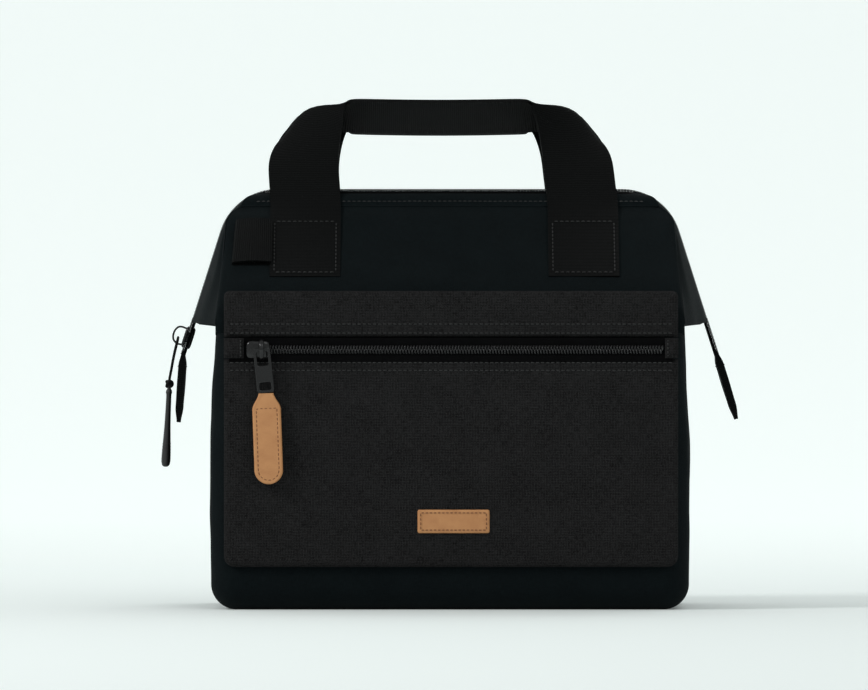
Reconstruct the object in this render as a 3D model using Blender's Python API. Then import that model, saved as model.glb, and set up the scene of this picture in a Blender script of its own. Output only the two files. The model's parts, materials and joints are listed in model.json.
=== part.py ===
"""Insulated cooler bag with a zipped frame mouth, two webbing handles and a flat front pocket.

Metres, +Z up, front towards -Y. The origin is the middle of the base, on the surface it stands on.
The lower bag is fixed. The upper bag is two leaning halves, each hinged along the line where its
panel bends, and each half is modelled once as the front one and mirrored in Y for the back.
"""

from math import asin, cos, pi, sin, tan, atan2

import bmesh
import bpy
from mathutils import Matrix, Vector

MM = 0.001

# ---- driving dimensions -------------------------------------------------------------------
HALF_W = 128.5 * MM
HALF_D = 75.0 * MM
CORNER_R = 14.0 * MM
BEND_Z = 155.0 * MM
SIDE_TAPER = 0.024
GAP = 0.3 * MM
SEAM_GAP = 0.25 * MM

FABRIC = 1.5 * MM
FOAM = 5.0 * MM
LINER = 0.8 * MM
BOARD = 1.8 * MM

TIP_X = 139.5 * MM
TIP_Z = 156.0 * MM
TOP_Z = 226.0 * MM
SHOULDER_X = 117.0 * MM
SHOULDER_R = 16.0 * MM
MOUTH_Y = 5.8 * MM
LEAN = atan2(HALF_D - MOUTH_Y, 225.5 * MM - BEND_Z)

CHAIN_SLOT = 0.8 * MM
CHAIN_HALF = 5.5 * MM
CHAIN_T = 1.6 * MM

WEBBING = 38.0 * MM
WEBBING_T = 2.0 * MM
PATCH_LOW = 31.0 * MM
PATCH_HIGH = 85.0 * MM
HANDLE_PIVOT_T = 87.0 * MM
HANDLE_AXIS = (86.0 * MM, -2.45 * MM)  # the crease: up the panel, and out on the webbing's face
HANDLE_RISE = 54.8 * MM
SHOULDER_RISE = 33.0 * MM
LEG_BASE = (-59.0 * MM, 53.0 * MM)
LEG_TOP = (-60.5 * MM, 47.5 * MM)
FRONT_LEANS = (26.0, 25.0)
BACK_LEANS = (42.0, 18.0)

POCKET_X = (-121.0 * MM, 122.0 * MM)
POCKET_Z = (23.0 * MM, 134.3 * MM)
FLAP_Z = (145.8 * MM, 170.7 * MM)
POCKET_T = 4.0 * MM
POCKET_ZIP_Z = 139.3 * MM
POCKET_CHAIN_Y = (-80.0 * MM, -78.4 * MM)
POCKET_SLIDER_X = -102.7 * MM

COLOURS = {
    "outer_fabric": ((0.006, 0.009, 0.010), 0.85, 0.0),
    "pocket_canvas": ((0.011, 0.011, 0.011), 0.9, 0.0),
    "webbing": ((0.006, 0.007, 0.007), 0.8, 0.0),
    "insulation_foam": ((0.55, 0.56, 0.57), 0.9, 0.0),
    "liner_film": ((0.55, 0.57, 0.58), 0.35, 0.3),
    "stiffener": ((0.03, 0.03, 0.03), 0.6, 0.0),
    "spring_steel": ((0.5, 0.5, 0.5), 0.3, 1.0),
    "zip_tape": ((0.008, 0.008, 0.008), 0.7, 0.0),
    "slider_metal": ((0.03, 0.03, 0.032), 0.35, 0.9),
    "pull_cord": ((0.007, 0.007, 0.007), 0.8, 0.0),
    "pull_rubber": ((0.008, 0.008, 0.008), 0.5, 0.0),
    "tan_leather": ((0.49, 0.23, 0.09), 0.6, 0.0),
}

_materials = {}
_hinges = {}


# ---- scene helpers ------------------------------------------------------------------------
def clear():
    for thing in list(bpy.data.objects):
        bpy.data.objects.remove(thing, do_unlink=True)


def material(name):
    if name not in _materials:
        colour, roughness, metallic = COLOURS[name]
        made = bpy.data.materials.new(name)
        made.use_nodes = True
        shader = made.node_tree.nodes["Principled BSDF"]
        shader.inputs["Base Color"].default_value = (*colour, 1.0)
        shader.inputs["Roughness"].default_value = roughness
        shader.inputs["Metallic"].default_value = metallic
        _materials[name] = made
    return _materials[name]


def hinge(name, place, parent=None):
    """An empty on a joint's axis, which its moving pieces are parented to."""
    empty = bpy.data.objects.new(f"{name}_axis", None)
    bpy.context.collection.objects.link(empty)
    empty.location = place
    bpy.context.view_layer.update()
    if parent:
        attach(empty, parent)
    _hinges[name] = empty
    return empty


def attach(thing, parent):
    holder = _hinges[parent]
    thing.parent = holder
    thing.matrix_parent_inverse = holder.matrix_world.inverted()
    bpy.context.view_layer.update()


def finish_mesh(name, bm, slot, parent=None):
    bmesh.ops.remove_doubles(bm, verts=bm.verts, dist=1e-6)
    bmesh.ops.recalc_face_normals(bm, faces=bm.faces)
    mesh = bpy.data.meshes.new(name)
    bm.to_mesh(mesh)
    bm.free()
    mesh.shade_smooth()
    mesh.set_sharp_from_angle(angle=0.6)
    mesh.materials.append(material(slot))
    made = bpy.data.objects.new(name, mesh)
    bpy.context.collection.objects.link(made)
    if parent:
        attach(made, parent)
    return made


def mirror_y(point):
    return Vector((point[0], -point[1], point[2]))


def side_of(half):
    """The map from the front half, as modelled, to the half asked for."""
    return Vector if half == "front" else mirror_y


# ---- shape helpers ------------------------------------------------------------------------
def loft(name, rings, slot, parent=None, place=Vector):
    """A closed solid through rings of matching points, capped at both ends."""
    bm = bmesh.new()
    loops = [[bm.verts.new(place(p)) for p in ring] for ring in rings]
    count = len(loops[0])
    for low, high in zip(loops, loops[1:]):
        for i in range(count):
            j = (i + 1) % count
            bm.faces.new((low[i], low[j], high[j], high[i]))
    bm.faces.new(list(reversed(loops[0])))
    bm.faces.new(loops[-1])
    return finish_mesh(name, bm, slot, parent)


def plate(name, outer, inner, slot, parent=None, place=Vector):
    """A closed solid between two matching grids of points, such as a panel's two faces."""
    bm = bmesh.new()
    front = [[bm.verts.new(place(p)) for p in row] for row in outer]
    back = [[bm.verts.new(place(p)) for p in row] for row in inner]
    rows, columns = len(front), len(front[0])
    for i in range(rows - 1):
        for j in range(columns - 1):
            bm.faces.new((front[i][j], front[i][j + 1], front[i + 1][j + 1], front[i + 1][j]))
            bm.faces.new((back[i][j], back[i + 1][j], back[i + 1][j + 1], back[i][j + 1]))
    rim = [(i, 0) for i in range(rows)] + [(rows - 1, j) for j in range(1, columns)]
    rim += [(i, columns - 1) for i in range(rows - 2, -1, -1)]
    rim += [(0, j) for j in range(columns - 2, 0, -1)]
    for (a, b), (c, d) in zip(rim, rim[1:] + rim[:1]):
        bm.faces.new((front[a][b], front[c][d], back[c][d], back[a][b]))
    return finish_mesh(name, bm, slot, parent)


def fillet(corner_path, radius, steps):
    """The path with each inner corner turned into an arc."""
    points = [Vector(corner_path[0])]
    for before, corner, after in zip(corner_path, corner_path[1:], corner_path[2:]):
        before, corner, after = Vector(before), Vector(corner), Vector(after)
        to_a, to_b = (before - corner).normalized(), (after - corner).normalized()
        half = asin((to_a - to_b).length / 2)
        reach = radius / tan(half)
        middle = corner + (to_a + to_b).normalized() * (radius / sin(half))
        start = (corner + to_a * reach - middle).normalized()
        end = (corner + to_b * reach - middle).normalized()
        for k in range(steps + 1):
            points.append(middle + start.slerp(end, k / steps) * radius)
    points.append(Vector(corner_path[-1]))
    return points


def rounded_outline(low, high, radius, steps=3):
    """A rectangle's outline with round corners, anticlockwise."""
    points = []
    corners = ((high[0], low[1], -90), (high[0], high[1], 0), (low[0], high[1], 90), (low[0], low[1], 180))
    for x, y, first in corners:
        centre_x = x - radius if x == high[0] else x + radius
        centre_y = y - radius if y == high[1] else y + radius
        for k in range(steps + 1):
            turn = (first + 90 * k / steps) * pi / 180
            points.append((centre_x + radius * cos(turn), centre_y + radius * sin(turn)))
    return points


def tube(name, points, radius, slot, parent=None, place=Vector):
    """A round wire or cord along a smooth route, as a bevelled curve."""
    curve = bpy.data.curves.new(name, "CURVE")
    curve.dimensions = "3D"
    curve.bevel_depth = radius
    curve.bevel_resolution = 2
    curve.use_fill_caps = True
    spline = curve.splines.new("POLY")
    spline.points.add(len(points) - 1)
    for target, point in zip(spline.points, points):
        target.co = (*place(point), 1.0)
    made = bpy.data.objects.new(name, curve)
    bpy.context.collection.objects.link(made)
    made.data.materials.append(material(slot))
    if parent:
        attach(made, parent)
    return made


def smooth_route(points, steps):
    """Points along the Catmull-Rom curve through the route's own points."""
    knots = [Vector(p) for p in points]
    padded = [2 * knots[0] - knots[1]] + knots + [2 * knots[-1] - knots[-2]]
    route = []
    for a, b, c, d in zip(padded, padded[1:], padded[2:], padded[3:]):
        for k in range(steps):
            t = k / steps
            route.append(0.5 * (2 * b + (c - a) * t + (2 * a - 5 * b + 4 * c - d) * t**2
                                + (3 * b - a - 3 * c + d) * t**3))
    return route + [knots[-1]]


# ---- the rounded box that the lower bag's layers follow --------------------------------------
def tapered(point):
    return Vector((point[0] * (1 - SIDE_TAPER * point[2] / BEND_Z), point[1], point[2]))


def spread(core, radius, low_open=False):
    """Grid places across one face of the rounded box: even steps round both edge arcs."""
    arc = [radius * tan(a * pi / 180) for a in (15, 30)]
    edge = radius - SEAM_GAP
    high = [core + a for a in arc] + [core + edge]
    if low_open:
        return high
    return [-v for v in reversed(high)] + [-core, -core / 3, core / 3, core] + high


def box_skin(face, depth, top):
    """The grid of one face of the rounded box, depth in from the outside, up to height top."""
    core_x, core_y, radius = HALF_W - CORNER_R, HALF_D - CORNER_R, CORNER_R
    rise = [CORNER_R - v for v in reversed(spread(0.0, radius, low_open=True))]
    rise += [CORNER_R, (CORNER_R + top) / 2, top]
    if face == "base":
        grid = [[(x, y, 0.0) for y in spread(core_y, radius)] for x in spread(core_x, radius)]
    elif face in ("front", "back"):
        y = -HALF_D if face == "front" else HALF_D
        grid = [[(x, y, z) for z in rise] for x in spread(core_x, radius)]
    else:
        x = -HALF_W if face == "left" else HALF_W
        grid = [[(x, y, z) for z in rise] for y in spread(core_y, radius)]
    skin = []
    for row in grid:
        line = []
        for x, y, z in row:
            core = Vector((max(-core_x, min(core_x, x)), max(-core_y, min(core_y, y)), max(radius, z)))
            away = (Vector((x, y, z)) - core).normalized()
            line.append(tapered(core + away * (radius - depth)))
        skin.append(line)
    return skin


def box_panel(name, face, depth, thickness, top, slot):
    plate(name, box_skin(face, depth, top), box_skin(face, depth + thickness, top), slot)


def lower_bag():
    foam_depth = FABRIC + GAP
    base_foam_depth = FABRIC + GAP + BOARD + GAP
    for face in ("front", "back", "left", "right", "base"):
        top = BEND_Z - (0.8 if face in ("front", "back") else 4.0) * MM
        box_panel(f"outer_{face}", face, 0.0, FABRIC, top, "outer_fabric")
        depth = base_foam_depth if face == "base" else foam_depth
        box_panel(f"foam_{face}", face, depth, FOAM, top - 2.0 * MM, "insulation_foam")
    core_x, core_y = HALF_W - CORNER_R, HALF_D - CORNER_R
    outline = rounded_outline((-core_x, -core_y), (core_x, core_y), 6.0 * MM)
    low = FABRIC + GAP
    loft("base_board", [[(x, y, z) for x, y in outline] for z in (low, low + BOARD)], "stiffener")
    liner_tub(foam_depth + FOAM + GAP, base_foam_depth + FOAM + GAP)


def liner_tub(inset, floor):
    """The thin inner tub: an outside and an inside that meet at the open rim."""
    top = BEND_Z - 6.0 * MM
    bend = CORNER_R - inset

    def ring(extra, z, drawn):
        clear = inset + extra + drawn + 0.4 * MM
        x, y = HALF_W - clear, HALF_D - clear
        radius = max(0.6 * MM, CORNER_R - clear)
        return [tapered((px, py, z)) for px, py in rounded_outline((-x, -y), (x, y), radius)]

    def skin(extra, low):
        turn = bend - extra
        steps = [a * pi / 180 for a in (10, 35, 62, 90)]
        rings = [ring(extra, low + turn * (1 - cos(a)), turn * (1 - sin(a))) for a in steps]
        return rings + [ring(extra, top, 0.0)]

    outside, inside = skin(0.0, floor), skin(LINER, floor + LINER)
    loft("liner_tub", outside + list(reversed(inside)), "liner_film")


# ---- front pocket ---------------------------------------------------------------------------
def slab(name, x, y, z, radius, slot, parent=None):
    """A flat piece facing the front with round corners."""
    outline = rounded_outline((x[0], z[0]), (x[1], z[1]), radius)
    loft(name, [[(px, py, pz) for px, pz in outline] for py in y], slot, parent)


def front_pocket():
    face = -HALF_D - GAP
    proud = face - POCKET_T
    slab("pocket_panel", POCKET_X, (face, proud), POCKET_Z, 6.0 * MM, "pocket_canvas")
    slab("pocket_flap", POCKET_X, (face, proud), FLAP_Z, 3.0 * MM, "pocket_canvas")
    chain_x = (-119.0 * MM, 120.0 * MM)
    low = (POCKET_Z[1] + 0.4 * MM, POCKET_ZIP_Z - CHAIN_SLOT)
    high = (POCKET_ZIP_Z + CHAIN_SLOT, FLAP_Z[0] - 0.4 * MM)
    slab("pocket_zip_lower", chain_x, POCKET_CHAIN_Y, low, 0.4 * MM, "zip_tape")
    slab("pocket_zip_upper", chain_x, POCKET_CHAIN_Y, high, 0.4 * MM, "zip_tape")
    cover = (-82.0 * MM, -80.3 * MM)
    slab("pocket_zip_end_left", (-121.0 * MM, -110.3 * MM), cover, (134.7 * MM, 145.4 * MM), 0.5 * MM,
         "pocket_canvas")
    slab("pocket_zip_end_right", (114.8 * MM, 122.0 * MM), cover, (134.7 * MM, 145.4 * MM), 0.5 * MM,
         "pocket_canvas")
    slab("leather_label", (-17.4 * MM, 21.1 * MM), (proud - 1.6 * MM, proud - GAP),
         (41.2 * MM, 53.8 * MM), 1.0 * MM, "tan_leather")


# ---- mouth halves ---------------------------------------------------------------------------
def on_panel(x, t, depth):
    """A place on the front leaning panel: t up from the bend line, depth in from its outside."""
    return Vector((x, -HALF_D + t * sin(LEAN) + depth * cos(LEAN), BEND_Z + t * cos(LEAN) - depth * sin(LEAN)))


def mouth_edge():
    """The closed mouth's outline in the plane y = 0, from the left tip over the top to the right tip."""
    tip = Vector((TIP_X, 0, TIP_Z))
    corner = Vector((SHOULDER_X, 0, TOP_Z))
    right = fillet([tip, corner, Vector((0, 0, TOP_Z))], SHOULDER_R, 6)
    left = [Vector((-p.x, 0, p.z)) for p in right[:-1]]
    return left + list(reversed(right[:-1]))


def edge_normals(path):
    """The outward direction at each point of a path in the XZ plane that runs left to right."""
    normals = []
    for i in range(len(path)):
        along = path[min(i + 1, len(path) - 1)] - path[max(i - 1, 0)]
        normals.append(Vector((-along.z, 0, along.x)).normalized())
    return normals


def band_along(name, path, normals, depths, ys, slot, parent, place=Vector):
    """A flat strip that follows the path, between two depths and two y."""
    rings = []
    for point, out in zip(path, normals):
        ring = []
        for depth, y in ((depths[0], ys[0]), (depths[0], ys[1]), (depths[1], ys[1]), (depths[1], ys[0])):
            place_in = point - out * depth
            ring.append((place_in.x, y, place_in.z))
        rings.append(ring)
    loft(name, rings, slot, parent, place)


def panel_outline(side_low, side_high, t_low, t_high, corner):
    """A leaning panel's outline in (x, t): straight sides and round upper corners."""
    right = fillet([Vector((side_low, t_low, 0)), Vector((side_high, t_high, 0)), Vector((0, t_high, 0))],
                   corner, 4)[:-1]
    half = [(p.x, p.y) for p in right]
    return half + [(-x, t) for x, t in reversed(half)]


def leaning_sheet(name, outline, depths, slot, parent, place):
    loft(name, [[on_panel(x, t, depth) for x, t in outline] for depth in depths], slot, parent, place)


def wing(name, sign, parent, place):
    """One of the side bellows: a ruled sheet from the panel's side edge to the mouth's edge."""
    steps = 8
    edge = [p for p in mouth_edge() if p.x * sign > 0]
    edge = sorted(edge, key=lambda p: p.z)
    outer, inner = [], []
    for i in range(steps + 1):
        f = i / steps
        t = 1.5 * MM + f * 88.0 * MM
        near = on_panel(sign * (125.4 - 0.050 * (t / MM)) * MM, t, 0.2 * MM)
        near.x += sign * 1.0 * MM
        far = along_path(edge, f * 0.93)
        far = Vector((far.x - sign * 0.4 * MM, -MOUTH_Y, far.z + (0.2 * MM if i == 0 else 0.0)))
        row = [near.lerp(far, k / 4) for k in range(5)]
        outer.append(row)
        inner.append([p - Vector((sign * FABRIC, 0, 0)) for p in row])
    for row in inner:
        row[0] = row[0] + Vector((sign * (FABRIC - 0.3 * MM), 0, 0))
    plate(name, outer, inner, "outer_fabric", parent, place)


def along_path(path, fraction):
    """The point at that fraction of a path's length."""
    lengths = [(b - a).length for a, b in zip(path, path[1:])]
    left = fraction * sum(lengths)
    for (a, b), length in zip(zip(path, path[1:]), lengths):
        if left <= length:
            return a.lerp(b, left / length)
        left -= length
    return path[-1]


def frame_wire(name, parent, place):
    """Spring-steel U inside the mouth's hem, ending beside the tips."""
    drawn = 9.4 * MM
    path = mouth_edge()
    normals = edge_normals(path)
    inner = [p - n * drawn for p, n in zip(path, normals)]
    inner = [p for p in inner if p.z > TIP_Z + 3.0 * MM]
    tips = [along_path([Vector((s * TIP_X, 0, TIP_Z)), Vector((s * SHOULDER_X, 0, TOP_Z))], 0.08)
            - Vector((s * drawn / cos(0.31), 0, 0)) for s in (-1, 1)]
    route = [tips[0]] + inner + [tips[1]]
    tube(name, [(p.x, -9.5 * MM, p.z) for p in route], 1.5 * MM, "spring_steel", parent, place)


def mouth_half(half):
    body = f"mouth_{half}"
    place = side_of(half)
    hinge(body, place((0, -HALF_D, BEND_Z)))
    panel = panel_outline(124.8 * MM, 119.4 * MM, 1.0 * MM, 86.5 * MM, 12.0 * MM)
    leaning_sheet(f"upper_panel_{half}", panel, (0.0, FABRIC), "outer_fabric", body, place)
    strip = panel_outline(116.5 * MM, 106.0 * MM, 87.0 * MM, 97.3 * MM, 5.0 * MM)
    leaning_sheet(f"top_strip_{half}", strip, (0.0, FABRIC), "outer_fabric", body, place)
    foam = panel_outline(117.0 * MM, 112.0 * MM, 6.0 * MM, 84.0 * MM, 8.0 * MM)
    start = FABRIC + GAP
    leaning_sheet(f"upper_foam_{half}", foam, (start, start + FOAM), "insulation_foam", body, place)
    liner = panel_outline(117.0 * MM, 112.0 * MM, 9.0 * MM, 84.0 * MM, 8.0 * MM)
    start += FOAM + GAP
    leaning_sheet(f"upper_liner_{half}", liner, (start, start + LINER), "liner_film", body, place)
    path = mouth_edge()
    band_along(f"main_zip_{half}", path, edge_normals(path), (0.0, CHAIN_T), (-CHAIN_HALF, -CHAIN_SLOT),
               "zip_tape", body, place)
    frame_wire(f"frame_wire_{half}", body, place)
    for word, sign in (("left", -1), ("right", 1)):
        wing(f"wing_{half}_{word}", sign, body, place)
        leg = 0 if sign < 0 else 1
        inner = LEG_BASE[leg]
        across = sorted((inner, inner + sign * WEBBING))
        outline = [(across[0], PATCH_LOW), (across[1], PATCH_LOW), (across[1], PATCH_HIGH),
                   (across[0], PATCH_HIGH)]
        leaning_sheet(f"handle_patch_{half}_{word}", outline, (-GAP, -GAP - WEBBING_T), "webbing", body, place)


def accessory_loop():
    """A flat folded loop of webbing caught under the left handle patch, its bight to the left."""
    inner_x, outer_x = -97.5 * MM, -116.5 * MM
    layer, gap = 1.3 * MM, 1.6 * MM
    middle = -GAP - layer - gap / 2
    bight = gap / 2 + layer
    outline = []
    for turn in range(0, 181, 30):
        a = (90 - turn) * pi / 180
        outline.append((outer_x + bight - bight * cos(a), middle - bight * sin(a)))
    hole = []
    for turn in range(180, -1, -30):
        a = (90 - turn) * pi / 180
        hole.append((outer_x + bight - gap / 2 * cos(a), middle - gap / 2 * sin(a)))
    section = [(inner_x, outline[0][1])] + outline + [(inner_x, outline[-1][1])]
    section += [(inner_x, hole[0][1])] + hole + [(inner_x, hole[-1][1])]
    rings = [[on_panel(x, t, depth) for x, depth in section] for t in (40.0 * MM, 73.0 * MM)]
    loft("accessory_loop", rings, "webbing", "mouth_front")


# ---- handles --------------------------------------------------------------------------------
def profile(s, leans):
    """How far back and up the handle's middle surface is at length s, and its lean there."""
    first, last = (a * pi / 180 for a in leans)
    rate = (last - first) / HANDLE_RISE
    lean = first + rate * s
    return (cos(first) - cos(lean)) / rate, (sin(lean) - sin(first)) / rate, lean


def handle_point(x, s, w, base, leans):
    back, up, lean = profile(s, leans)
    return Vector((x, base.y + back + w * cos(lean), base.z + up - w * sin(lean)))


def handle_edges(leg, q):
    """The strap's inner and outer edge, (x, s, w) each. q runs 0 to 1 up the leg, then 1 to 2 round
    the shoulder, where the strap twists a quarter turn so that its inner edge comes to the front."""
    sign = -1 if leg == 0 else 1
    leg_rise = HANDLE_RISE - SHOULDER_RISE
    base, top = LEG_BASE[leg], LEG_TOP[leg]
    if q <= 1:
        x = base + (top - base) * q * 0.6
        s = 1.5 * MM + q * (leg_rise - 1.5 * MM)
        return (x, s, 0.0), (x + sign * WEBBING, s, 0.0)
    turn = (q - 1) * pi / 2
    x = base + (top - base) * (0.6 + 0.4 * (q - 1))
    s = leg_rise + SHOULDER_RISE * sin(turn)
    twist = (1 - cos(turn)) ** 0.8
    inner = (x - sign * 6.0 * MM * twist, s, -WEBBING / 2 * twist)
    outer = (x + sign * WEBBING * cos(turn) ** 0.8 - sign * 6.0 * MM * twist, s, WEBBING / 2 * twist)
    return inner, outer


def handle(half):
    body = f"{half}_handle"
    place = side_of(half)
    pivot = on_panel(0, HANDLE_PIVOT_T, -GAP - WEBBING_T / 2)
    hinge(body, place(on_panel(0, *HANDLE_AXIS)), f"mouth_{half}")
    leans = FRONT_LEANS if half == "front" else tuple(-a for a in BACK_LEANS)
    stations = [(0, q / 3) for q in range(3)] + [(0, 1 + q / 8) for q in range(9)]
    stations += [(1, 1 + q / 8) for q in range(8, -1, -1)] + [(1, q / 3) for q in range(2, -1, -1)]
    middle = []
    for leg, q in stations:
        inner, outer = handle_edges(leg, q)
        bulge = 7.0 * MM * sin(pi * max(0.0, q - 1)) ** 2
        sign = -1 if leg == 0 else 1
        row = []
        for k in range(5):
            v = k / 4
            x, s, w = (a + (b - a) * v for a, b in zip(inner, outer))
            hump = bulge * 4 * v * (1 - v)
            row.append(handle_point(x + sign * 0.6 * hump, s + 0.8 * hump, w, pivot, leans))
        middle.append(row)
    outer_side, inner_side = [], []
    for i, row in enumerate(middle):
        above, below = [], []
        for k, point in enumerate(row):
            along = middle[min(i + 1, len(middle) - 1)][k] - middle[max(i - 1, 0)][k]
            across = row[min(k + 1, 4)] - row[max(k - 1, 0)]
            normal = along.cross(across).normalized() * (WEBBING_T / 2)
            above.append(point + normal)
            below.append(point - normal)
        outer_side.append(above)
        inner_side.append(below)
    plate(f"handle_{half}", outer_side, inner_side, "webbing", body, place)


# ---- mouth zip's ends, slider and pull ----------------------------------------------------------
def edge_line(z, depth=0.0):
    """The left straight mouth edge carried on downwards, depth in from its outside."""
    slope = (TIP_X - SHOULDER_X) / (TOP_Z - TIP_Z)
    lean = atan2(TIP_X - SHOULDER_X, TOP_Z - TIP_Z)
    return Vector((-(TIP_X - (z - TIP_Z) * slope) + depth / cos(lean), 0, z))


def zip_tail(word, sign):
    """The zip's end below the mouth: both tape edges, joined at the bottom."""
    bm = bmesh.new()
    slot = CHAIN_SLOT
    top, floor, low = TIP_Z - 0.9 * MM, TIP_Z - 17.3 * MM, TIP_Z - 18.4 * MM
    outline = [(-CHAIN_HALF, low), (CHAIN_HALF, low), (CHAIN_HALF, top), (slot, top), (slot, floor),
               (-slot, floor), (-slot, top), (-CHAIN_HALF, top)]
    faces = []
    for depth in (0.0, CHAIN_T):
        ring = []
        for y, z in outline:
            place_in = edge_line(z, depth)
            ring.append(bm.verts.new((-sign * place_in.x, y, z)))
        faces.append(ring)
    bm.faces.new(faces[0])
    bm.faces.new(list(reversed(faces[1])))
    for i in range(len(outline)):
        j = (i + 1) % len(outline)
        bm.faces.new((faces[0][i], faces[1][i], faces[1][j], faces[0][j]))
    finish_mesh(f"zip_tail_{word}", bm, "zip_tape")


def side_fold(word, sign):
    """The closed underside of a wing, a flat web from the side panel out to the zip's end."""
    z = (TIP_Z - 4.4 * MM, TIP_Z - 2.9 * MM)
    outline = [(124.0, -69.0), (136.2, -6.0), (136.2, 6.0), (124.0, 69.0), (112.0, 60.0), (112.0, -60.0)]
    rings = [[(sign * x * MM, y * MM, height) for x, y in outline] for height in z]
    loft(f"side_fold_{word}", rings, "outer_fabric")


def tail_tab(word, sign, lean_degrees):
    """A folded fabric tab on the zip's end, with a pointed lower end."""
    top = edge_line(TIP_Z - 18.9 * MM, CHAIN_T / 2)
    top.x = -sign * top.x
    body = f"{word}_tail_tab"
    hinge(body, top)
    lean = lean_degrees * pi / 180
    down = Vector((sign * sin(lean), 0, -cos(lean)))
    out = Vector((sign * cos(lean), 0, sin(lean)))
    stations = ((0.6, 2.0), (4.0, 3.6), (14.0, 4.6), (30.0, 4.6), (34.5, 3.0), (37.0, 0.8))
    rings = []
    for length, thick in stations:
        middle = top + down * length * MM
        half_y = (11.0 if length < 32 else 9.5 if length < 36 else 7.0) * MM
        side = out * thick * MM / 2
        rings.append([middle - side + Vector((0, -half_y, 0)), middle + side + Vector((0, -half_y, 0)),
                      middle + side + Vector((0, half_y, 0)), middle - side + Vector((0, half_y, 0))])
    loft(f"tail_tab_{word}", rings, "webbing", body)


def main_slider():
    """Slider on the left tail: a plate outside the chain, one inside, a web between and a bail."""
    centre = edge_line(TIP_Z - 10.0 * MM)
    lean = atan2(TIP_X - SHOULDER_X, TOP_Z - TIP_Z)
    up = Vector((sin(lean), 0, cos(lean)))
    out = Vector((-cos(lean), 0, sin(lean)))
    hinge("main_slider", centre)
    half_l, half_w, web = 6.0 * MM, 4.5 * MM, 0.45 * MM
    near, far = 0.3 * MM, 1.8 * MM
    under, deep = -CHAIN_T - 0.3 * MM, -CHAIN_T - 1.7 * MM
    section = [(-half_w, near), (-half_w, far), (half_w, far), (half_w, near), (web, near), (web, under),
               (half_w, under), (half_w, deep), (-half_w, deep), (-half_w, under), (-web, under), (-web, near)]
    rings = []
    for length in (-half_l, half_l):
        rings.append([centre + up * length + out * n + Vector((0, y, 0)) for y, n in section])
    loft("main_slider", rings, "slider_metal", "main_slider")
    arch = [(-3.6, 2.9), (-4.6, 4.6), (-4.0, 6.4), (-1.6, 7.6), (1.6, 7.6), (4.2, 6.2), (4.8, 4.2), (3.8, 2.9)]
    route = smooth_route([centre + up * a * MM + out * n * MM for a, n in arch], 2)
    tube("main_slider_bail", route, 0.7 * MM, "slider_metal", "main_slider")
    return centre - up * 1.5 * MM + out * 4.6 * MM


PULL_LOOP = ((-4.6, -1.1, -22.2), (-3.7, -1.3, -17.5), (-2.4, -2.6, -10.5), (-1.0, -3.3, -4.4),
             (-0.2, -2.4, -1.2), (0.0, 0.0, 0.0), (-0.2, 2.4, -1.2), (-1.0, 3.3, -4.4),
             (-2.4, 2.6, -10.5), (-3.7, 1.3, -17.5), (-4.6, 1.1, -22.2))


def main_pull(axis_point):
    """Cord loop through the bail, its knot and the slim moulded end, hanging."""
    hinge("pull_loop", axis_point, "main_slider")
    foot = axis_point + Vector((-5.0 * MM, 0, -24.4 * MM))
    loop = [axis_point + Vector(point) * MM for point in PULL_LOOP]
    tube("pull_cord", smooth_route(loop, 3), 0.7 * MM, "pull_cord", "pull_loop")
    knot = foot + Vector((0.2 * MM, 0, -0.9 * MM))
    hinge("main_pull", knot, "pull_loop")
    bm = bmesh.new()
    bmesh.ops.create_uvsphere(bm, u_segments=10, v_segments=7, radius=2.6 * MM)
    bmesh.ops.translate(bm, verts=bm.verts, vec=knot)
    finish_mesh("pull_knot", bm, "pull_cord", "main_pull")
    stations = ((0.0, 1.3, 1.6), (1.2, 1.7, 2.2), (12.0, 1.5, 2.2), (26.0, 2.0, 3.0), (38.0, 2.5, 3.6),
                (41.0, 2.0, 3.0), (42.0, 1.0, 1.8))
    top = foot + Vector((0.1 * MM, 0, -3.9 * MM))
    rings = []
    for length, rx, ry in stations:
        middle = top + Vector((-0.045 * length * MM, 0, -length * MM))
        rings.append([middle + Vector((rx * cos(a) * MM, ry * sin(a) * MM, 0))
                      for a in (k * pi / 5 for k in range(10))])
    loft("pull_grip", rings, "pull_rubber", "main_pull")


# ---- pocket slider, puller and leather tab --------------------------------------------------------
def pocket_slider():
    x0, z0 = POCKET_SLIDER_X, POCKET_ZIP_Z
    hinge("pocket_slider", (x0, POCKET_CHAIN_Y[0], z0))
    outside = (POCKET_CHAIN_Y[0] - GAP, POCKET_CHAIN_Y[0] - 1.9 * MM)
    inside = (POCKET_CHAIN_Y[1] + GAP, POCKET_CHAIN_Y[1] + 1.3 * MM)
    wide, narrow, web = 5.4 * MM, 4.0 * MM, 0.45 * MM
    section = [(wide, outside[0]), (wide, outside[1]), (-wide, outside[1]), (-wide, outside[0]),
               (-web, outside[0]), (-web, inside[0]), (-narrow, inside[0]), (-narrow, inside[1]),
               (narrow, inside[1]), (narrow, inside[0]), (web, inside[0]), (web, outside[0])]
    rings = [[(x0 + x * MM, y, z0 + z) for z, y in section] for x in (-6.4, 6.4)]
    loft("pocket_slider", rings, "slider_metal", "pocket_slider")
    face = outside[1] - 0.8 * MM - GAP
    arch = [(-4.4, 0.0), (-5.0, -2.0), (-3.2, -3.7), (0.0, -4.1), (3.2, -3.7), (5.0, -2.0), (4.4, 0.0)]
    route = smooth_route([(x0 + 2.0 * MM, face + y * MM, z0 + z * MM) for z, y in arch], 2)
    tube("pocket_slider_bail", route, 0.8 * MM, "slider_metal", "pocket_slider")
    return Vector((x0 + 2.0 * MM, face - 1.9 * MM, z0))


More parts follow.
